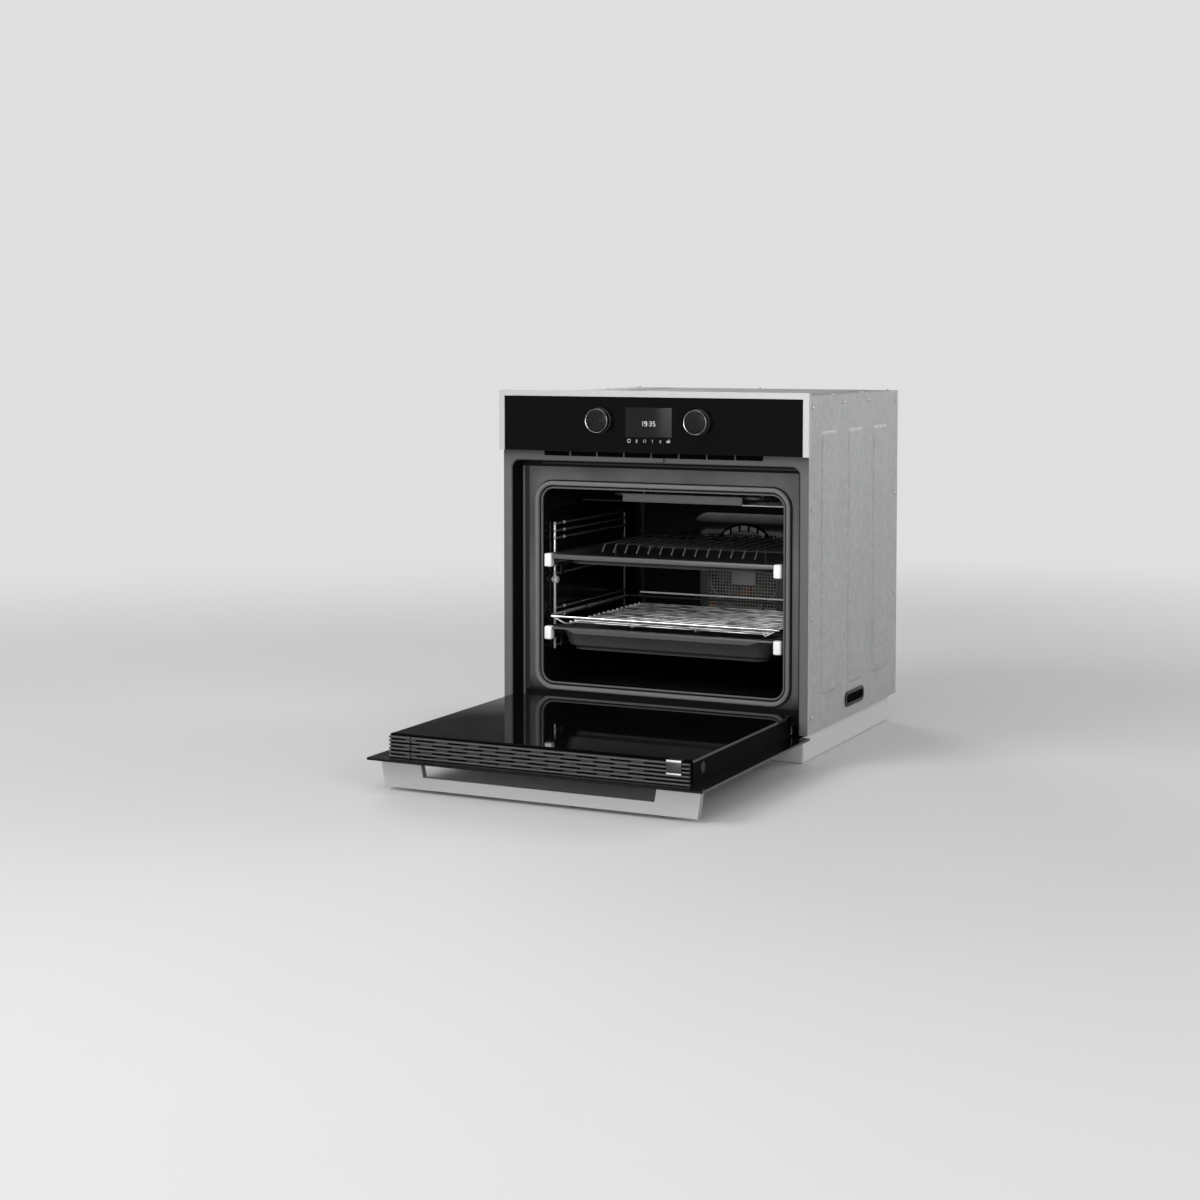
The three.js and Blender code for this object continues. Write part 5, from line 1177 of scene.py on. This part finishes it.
def shelf_wires():
    """The shelf: a wire frame, cross bars lying lower on four carriers, and a raised rear rail."""
    shelf = Span("wire_shelf")
    half, z = shelf.x1 - 2.5, 180
    y0, y1 = shelf.y0 + 2.5, shelf.y1 - 2.5
    outer_carrier, inner_carrier = 188, 63
    front_wire, sides = Blank(), Blank()
    corners = [(-half, y0 + 14, z), (-half, y0, z), (half, y0, z), (half, y0 + 14, z)]
    front_wire.wire(bent(corners, 10, 8), 2.3)
    front_wire.made("shelf_front_wire", WIRE, "shelf", "chromed_wire", "wire_shelf")
    for side in (-1, 1):
        sides.wire([(side * half, y0 + 14, z), (side * half, y1 - 1, z)], 2.2)
    sides.made("shelf_side_wires", POST_WIRE, "shelf", "chromed_wire")
    rail = Blank().wire([(-200, y1, z + 8), (200, y1, z + 8)], 1.8)
    rail.made("shelf_rear_rail", RAIL_HIGHLIGHT_WIRE, "shelf", "chromed_wire")
    bars, beads, low = Blank(), Blank(), z - 11
    bar_count, bar_pitch = 16, 20
    for i in range(bar_count):
        y = y0 + 18.7 + i * bar_pitch
        bars.wire([(-190, y, low), (190, y, low)], 1.15, 10)
        for side in (-1, 1):
            beads.wire([(side * 189.2, y, low), (side * 190.2, y, low)], 1.9, 10)
    bars.made("shelf_bars", SHELF_WIRE, "shelf", "chromed_wire")
    # painted highlight: the bars' beaded ends are bright to show as bright dots
    beads.made("shelf_bar_ends", HIGHLIGHT_WIRE, "shelf", "chromed_wire")
    carriers = Blank()
    under = low - 2.2
    for side in (-1, 1):
        x = side * outer_carrier
        carriers.wire(bent([(side * 214, y0 + 3.6, z - 3), (side * 195, y0 + 8, under),
                            (x, y0 + 22, under), (x, y1 - 12, under)], 5), 1.5)
        x = side * inner_carrier
        carriers.wire(bent([(x, y0 + 2, z - 2), (x, y0 + 9, under), (x, y1 - 12, under)], 4), 1.3)
    carriers.made("shelf_carriers", SHELF_WIRE, "shelf", "chromed_wire")
    rear = Blank().wire([(-half + 3, y1, z), (half - 3, y1, z)], 1.9)
    for side in (-1, 1):
        rear.wire([(side * 200, y1, z), (side * 200, y1, z + 8)], 1.9)
        for x in (inner_carrier, outer_carrier):
            rear.wire([(side * x, y1 - 12, under), (side * x, y1, z)], 1.3)
    rear.made("shelf_rear_wires", SHADED_WIRE, "shelf", "chromed_wire")


dress(BLACK, 0.3, "runner_rail_upper_left", "runner_rail_upper_right", "runner_rail_lower_left",
      "runner_rail_lower_right")
rack_frames()
slide_rails()
tray("shallow_tray", "upper_carriage", 8, 8.5, 7.6)
tray("deep_tray", "lower_carriage", 12, 10, 3.2)
roasting_rack()
shelf_wires()


# ---------------------------------------------------------------- control panel
DIGIT_BARS = {"1": "bc", "3": "abcdg", "5": "acdfg", "9": "abcdfg"}
DIGIT_WIDTH, DIGIT_HEIGHT, DIGIT_BAR = 4.2, 8.4, 0.8


def digit(blank, shape, x, z, y):
    """One seven-bar digit from its left foot. None of the four shapes has the lower left bar."""
    width, height, bar = DIGIT_WIDTH, DIGIT_HEIGHT, DIGIT_BAR
    mid = z + height / 2
    bars = {
        "a": (x, x + width, z + height - bar, z + height), "d": (x, x + width, z, z + bar),
        "g": (x, x + width, mid - bar / 2, mid + bar / 2),
        "f": (x, x + bar, mid, z + height),
        "b": (x + width - bar, x + width, mid, z + height), "c": (x + width - bar, x + width, z, mid),
    }
    for key in DIGIT_BARS[shape]:
        x0, x1, z0, z1 = bars[key]
        blank.box(x0 + 0.08, x1 - 0.08, y - 0.08, y, z0 + 0.08, z1 - 0.08)


def display():
    """The display's window in the panel glass, with the clock's digits and colon."""
    glass = Span("panel_glass")
    y = glass.y0 - 0.12
    window = Blank().plate([rounded(-45, 43.7, 514, 566, 1)], "XZ", y, glass.y0, 0.04)
    window.made("display_window", WINDOW, "oven_body", "black_glass")
    clock = Blank()
    for shape, x in zip("1935", (-15.4, -8.4, 0.8, 7.8)):
        digit(clock, shape, x, 533.6, y - 0.02)
    for z in (536, 539.4):
        clock.box(-2.4, -1.5, y - 0.1, y - 0.02, z - 0.45, z + 0.45)
    clock.made("clock_digits", DIGITS, "oven_body", "black_glass")


def touch_marks():
    """The row of plain printed marks under the display."""
    face = Span("panel_glass").y0
    marks = Blank()

    def hoop(x, z, radius, line=0.7):
        marks.plate([circle(x, z, radius, 24), circle(x, z, radius - line, 24)], "XZ", face - 0.06, face)

    def bar(x0, x1, z0, z1):
        marks.box(x0, x1, face - 0.06, face, z0, z1)

    first, pitch, z = -38.7, 15.2, 507
    xs = [first + i * pitch for i in range(6)]
    hoop(xs[0], z, 3.4, 0.9)
    hoop(xs[1], z + 1.5, 1.5)
    hoop(xs[1], z - 1.5, 1.5)
    hoop(xs[2], z, 2.7, 0.6)
    bar(xs[3] - 0.5, xs[3] + 0.5, z - 1, z + 3)
    bar(xs[3] - 0.5, xs[3] + 0.5, z - 2.8, z - 1.8)
    hoop(xs[4], z + 1.2, 1.3)
    bar(xs[4] - 1.5, xs[4] + 1.5, z - 2.4, z - 1.5)
    bar(xs[5] - 3.2, xs[5] + 3.2, z - 1.9, z + 1.5)
    hoop(xs[5] + 1.2, z + 1.8, 1.8, 0.6)
    marks.made("touch_marks", INK, "oven_body", "black_glass")


def knobs():
    """Each knob: a skirt, a side of fine grips, a chromed ring and a dotted face."""
    for name, _ in both("knob"):
        knob = Span(name)
        body = name.split("_")[1] + "_knob"
        centre, out = (knob.x, knob.y1, knob.z), (0, -1, 0)
        skirt = Blank()
        skirt.turned([(22.4, 0), (23, 0.5), (23, 3.8), (22.5, 4.5), (20.6, 4.7)], centre, out, 72)
        grips = 80
        top = knob.depth
        rims = [(20.3, 4.6), (20.9, 5.2), (20.9, top - 4.4), (20.4, top - 3.7)]
        turns = full_turn(2 * grips)
        skirt.loft([[Vector((knob.x + (r + 0.5 * (i % 2)) * math.cos(t), knob.y1 - far,
                             knob.z + (r + 0.5 * (i % 2)) * math.sin(t)))
                     for i, t in enumerate(turns)] for r, far in rims])
        skirt.made(name + "_body", KNOB_SIDE, body, "black_plastic", name)
        section = [(20.2, 3.7), (21.3, 3.6), (21.6, 3.1), (21.6, 0.8), (21.4, 0.3), (21, 0),
                   (20.5, 0.1), (20.2, 0.5), (20.2, 3.7)]
        band = Blank().sweep([(circle(knob.x, knob.z, r, 72), knob.y0 + down) for r, down in section],
                             "XZ")
        band.made(name + "_ring", RING, body, "chromed_wire")
        profile = [(20.2, top - 3.7), (20.2, top - 1.4), (19.5, top - 1), (6, top - 1.2)]
        face = Blank().turned(profile, centre, out, 72)
        face.made(name + "_face", KNOB_FACE, body, "black_plastic")


dress(TRIM, 0.5, "trim_strip")
dress(PANEL_GLASS, 0.25, "panel_glass")
display()
touch_marks()
knobs()


# ---------------------------------------------------------------- door
def vent_profile():
    """The slotted profile along the door's free edge: six ridges with staggered slots between."""
    vent = Span("door_vent_profile")
    count, ridge, end_block = 6, 3.5, 40
    pitch = vent.height / count
    # painted shade: the near-black core stands for the shade down in the vent's slots
    core = Blank().box(vent.x0, vent.x1, vent.y0 + 5.6, vent.y1, vent.z0, vent.z1, 0.4)
    core.made("vent_core", DARK, "door", "black_plastic")
    ridges = Blank()
    for i in range(count):
        z = vent.z0 + i * pitch + 0.2
        lip = [(vent.y1, z), (vent.y0 + 0.9, z), (vent.y0 + 0.2, z + 0.5), (vent.y0, z + 1.2),
               (vent.y0 + 0.2, z + ridge - 1.2), (vent.y0 + 1, z + ridge - 0.3), (vent.y1, z + ridge)]
        for a, b in ((vent.x0, vent.x0 + end_block), (vent.x0 + end_block + 2, vent.x1)):
            run = [(a, 1), (a + 0.4, 0.2), (a + 1.2, 0), (b - 1.2, 0), (b - 0.4, 0.2), (b, 1)]
            ridges.loft([[Vector((x, max(y, vent.y0 + pull), h)) for y, h in lip] for x, pull in run])
    ridges.box(vent.x0 + 0.5, vent.x1 - 0.5, vent.y1 - 1.5, vent.y1, vent.z0, vent.z1, 0.3)
    ridges.made("vent_ridges", VENT, "door", "black_plastic", "door_vent_profile")
    webs = Blank()
    web_start, web_pitch, web_half = -226, 58, 11
    for i in range(count - 1):
        low, staggered = vent.z0 + i * pitch + ridge, i % 2
        for k in range(8 - staggered):
            x = web_start + staggered * web_pitch / 2 + k * web_pitch
            webs.box(x - web_half, x + web_half, vent.y0 + 1.3, vent.y1 - 1,
                     low, low + pitch - ridge + 0.4, 0.3, 1)
    webs.made("vent_webs", VENT_GROOVE, "door", "black_plastic")


def edge_clip():
    """The bent clip along the door's edge, with a bright strip above and below."""
    clip = Span("door_clip")
    plate = Blank()
    x0, x1, z0 = clip.x0 + 0.4, clip.x1 - 1.6, clip.z0 - 2.4
    plate.box(x0, x1, clip.y0 + 0.2, clip.y0 + 1, z0 + 0.4, clip.z1 - 0.4, 0.2)
    plate.box(x0, x1, clip.y0 + 0.3, clip.y1, clip.z1 - 1, clip.z1 - 0.2, 0.2)
    plate.made("edge_clip", CLIP, "door", "rail_steel", "door_clip")
    strips = Blank()
    strips.box(x0, x1, clip.y0, clip.y0 + 0.9, clip.z1 - 3.4, clip.z1, 0.3)
    strips.box(x0, x1, clip.y0, clip.y0 + 0.9, z0, z0 + 2.6, 0.3)
    strips.made("edge_clip_strips", CLIP_EDGE, "door", "rail_steel")


def column_plugs():
    """The round cap over the handle's fixing in each side of the door."""
    for name, side in both("door_column"):
        column = Span(name)
        face = side * 267
        cap = Blank().turned([(8.6, -0.5), (8.6, 0.5), (7.9, 0.9), (6.4, 0.9), (6.1, 0.3), (2, 0.25)],
                             (face, column.y0 + 38, 25), (side, 0, 0))
        cap.made(name + "_plug", BLACK, "door", "black_plastic")


def hinge_springs():
    """The coiled wire of each hinge's spring."""
    for name, _ in both("hinge_spring"):
        spring = Span(name)
        turns, steps = 30, 14
        line = []
        for i in range(turns * steps + 1):
            t = 2 * math.pi * i / steps
            y = spring.y0 + 1 + (spring.depth - 2) * i / (turns * steps)
            line.append((spring.x + 3.6 * math.cos(t), y, spring.z + 3.6 * math.sin(t)))
        Blank().wire(line, 0.9, 6).made(name + "_coil", RAIL, "door", "galvanised", name)


dress(DOOR_GLASS, 0.4, "door_outer_glass")
dress(INNER_GLASS, 0.6, "door_inner_glass")
dress(CLEAR, 0.4, "door_middle_glass")
dress(COLUMN, 0.5, "door_column_left", "door_column_right", "door_bottom_profile")
dress(ALUMINIUM, 0.7, "door_handle")
# painted shade: the steel hinge arms take the near-black clip finish, standing for the shade they lie in
dress(CLIP, 0.4, "hinge_arm_left", "hinge_arm_right")
dress(ZINC, 0.4, "hinge_housing_left", "hinge_housing_right")
vent_profile()
edge_clip()
column_plugs()
hinge_springs()


# ---------------------------------------------------------------- floor
SHOWN_SURROUND, SHOWN_ABOVE, SURROUND_LIGHT = 0.74, 0.05, 0.2
SURROUND_ENDS, DARK_FROM = 0.163, 0.176  # heights of a view's direction, where straight up is one
FLOOR_KEEPS_TO, FLOOR_LOST_BY = 1.2, 3.4  # metres out from the oven
FLOOR_LEVEL, BLOCK_TOP, BLOCK_INSET = -0.052, -0.0004, 0.02


def shown_rays(tree):
    """One where the studio is seen or mirrored, and nought where it only lights."""
    seen = [tree.node("ShaderNodeLightPath", out=ray)
            for ray in ("Is Camera Ray", "Is Glossy Ray", "Is Transmission Ray")]
    return seen[0] + seen[1] + seen[2] > 0


def matt_white(name):
    """Matt white with a faint haze."""
    finish = Finish(name, (0.62, 0.62, 0.62))
    haze = finish.noise(3, 3)
    return finish.feed(Base_Color=finish.shaded(haze, 0.985, 1.015), Roughness=haze * 0.1 + 0.8)


def floor_white():
    """Matt white that runs into the pale surround far from the oven."""
    finish = matt_white("floor_white")
    reach = finish.node("ShaderNodeVectorMath", {"operation": "LENGTH"}, {0: finish.place}, "Value")
    far = finish.node("ShaderNodeMapRange", {"interpolation_type": "SMOOTHSTEP"},
                      {0: reach, 1: FLOOR_KEEPS_TO, 2: FLOOR_LOST_BY})
    glow = finish.node("ShaderNodeEmission", inputs={0: (1, 1, 1, 1), 1: SHOWN_SURROUND})
    lit = Line(finish, finish.shader.outputs[0])
    mixed = finish.node("ShaderNodeMixShader", inputs={0: far * shown_rays(finish), 1: lit, 2: glow})
    finish.fill(finish.tree.nodes["Material Output"].inputs[0], mixed)
    return finish


def set_stage():
    """A round pale floor, with a low block under the base pan that leaves the door free."""
    pan = Span("base_pan")
    floor = bmesh.new()
    bmesh.ops.create_circle(floor, cap_ends=True, segments=96, radius=9,
                            matrix=Matrix.Translation((0, 0, FLOOR_LEVEL)))
    block = bmesh.new()
    middle = Matrix.Translation((0, 0, (FLOOR_LEVEL + BLOCK_TOP) / 2))
    size = Matrix.Diagonal((pan.width * MM - BLOCK_INSET, pan.depth * MM - BLOCK_INSET,
                            BLOCK_TOP - FLOOR_LEVEL, 1))
    bmesh.ops.create_cube(block, size=1, matrix=middle @ size)
    bmesh.ops.bevel(block, geom=block.edges[:], offset=0.003, segments=2, profile=0.5, affect="EDGES")
    stage = (("floor", floor, floor_white()), ("block", block, matt_white("block_white")))
    for name, shape, finish in stage:
        data = bpy.data.meshes.new(name)
        shape.to_mesh(data)
        shape.free()
        data.materials.append(finish.material)
        thing = bpy.data.objects.new(name, data)
        bpy.context.scene.collection.objects.link(thing)


def set_world():
    """A pale surround up to a little above the horizon, where it is seen or mirrored, and a dim light."""
    world = bpy.data.worlds.new("studio")
    bpy.context.scene.world = world
    world.use_nodes = True
    world.node_tree.nodes.clear()
    tree = Nodes(world.node_tree)
    way = tree.node("ShaderNodeTexCoord", out="Generated")
    height = tree.node("ShaderNodeSeparateXYZ", inputs={0: way}, out="Z")
    shown = tree.node("ShaderNodeMapRange", inputs={
        0: height, 1: SURROUND_ENDS, 2: DARK_FROM,
        3: SHOWN_SURROUND - SURROUND_LIGHT, 4: SHOWN_ABOVE - SURROUND_LIGHT})
    strength = shown_rays(tree) * shown + SURROUND_LIGHT
    shade = tree.node("ShaderNodeBackground", inputs={"Color": (1, 1, 1, 1), "Strength": strength})
    tree.node("ShaderNodeOutputWorld", inputs={0: shade})


set_stage()
set_world()
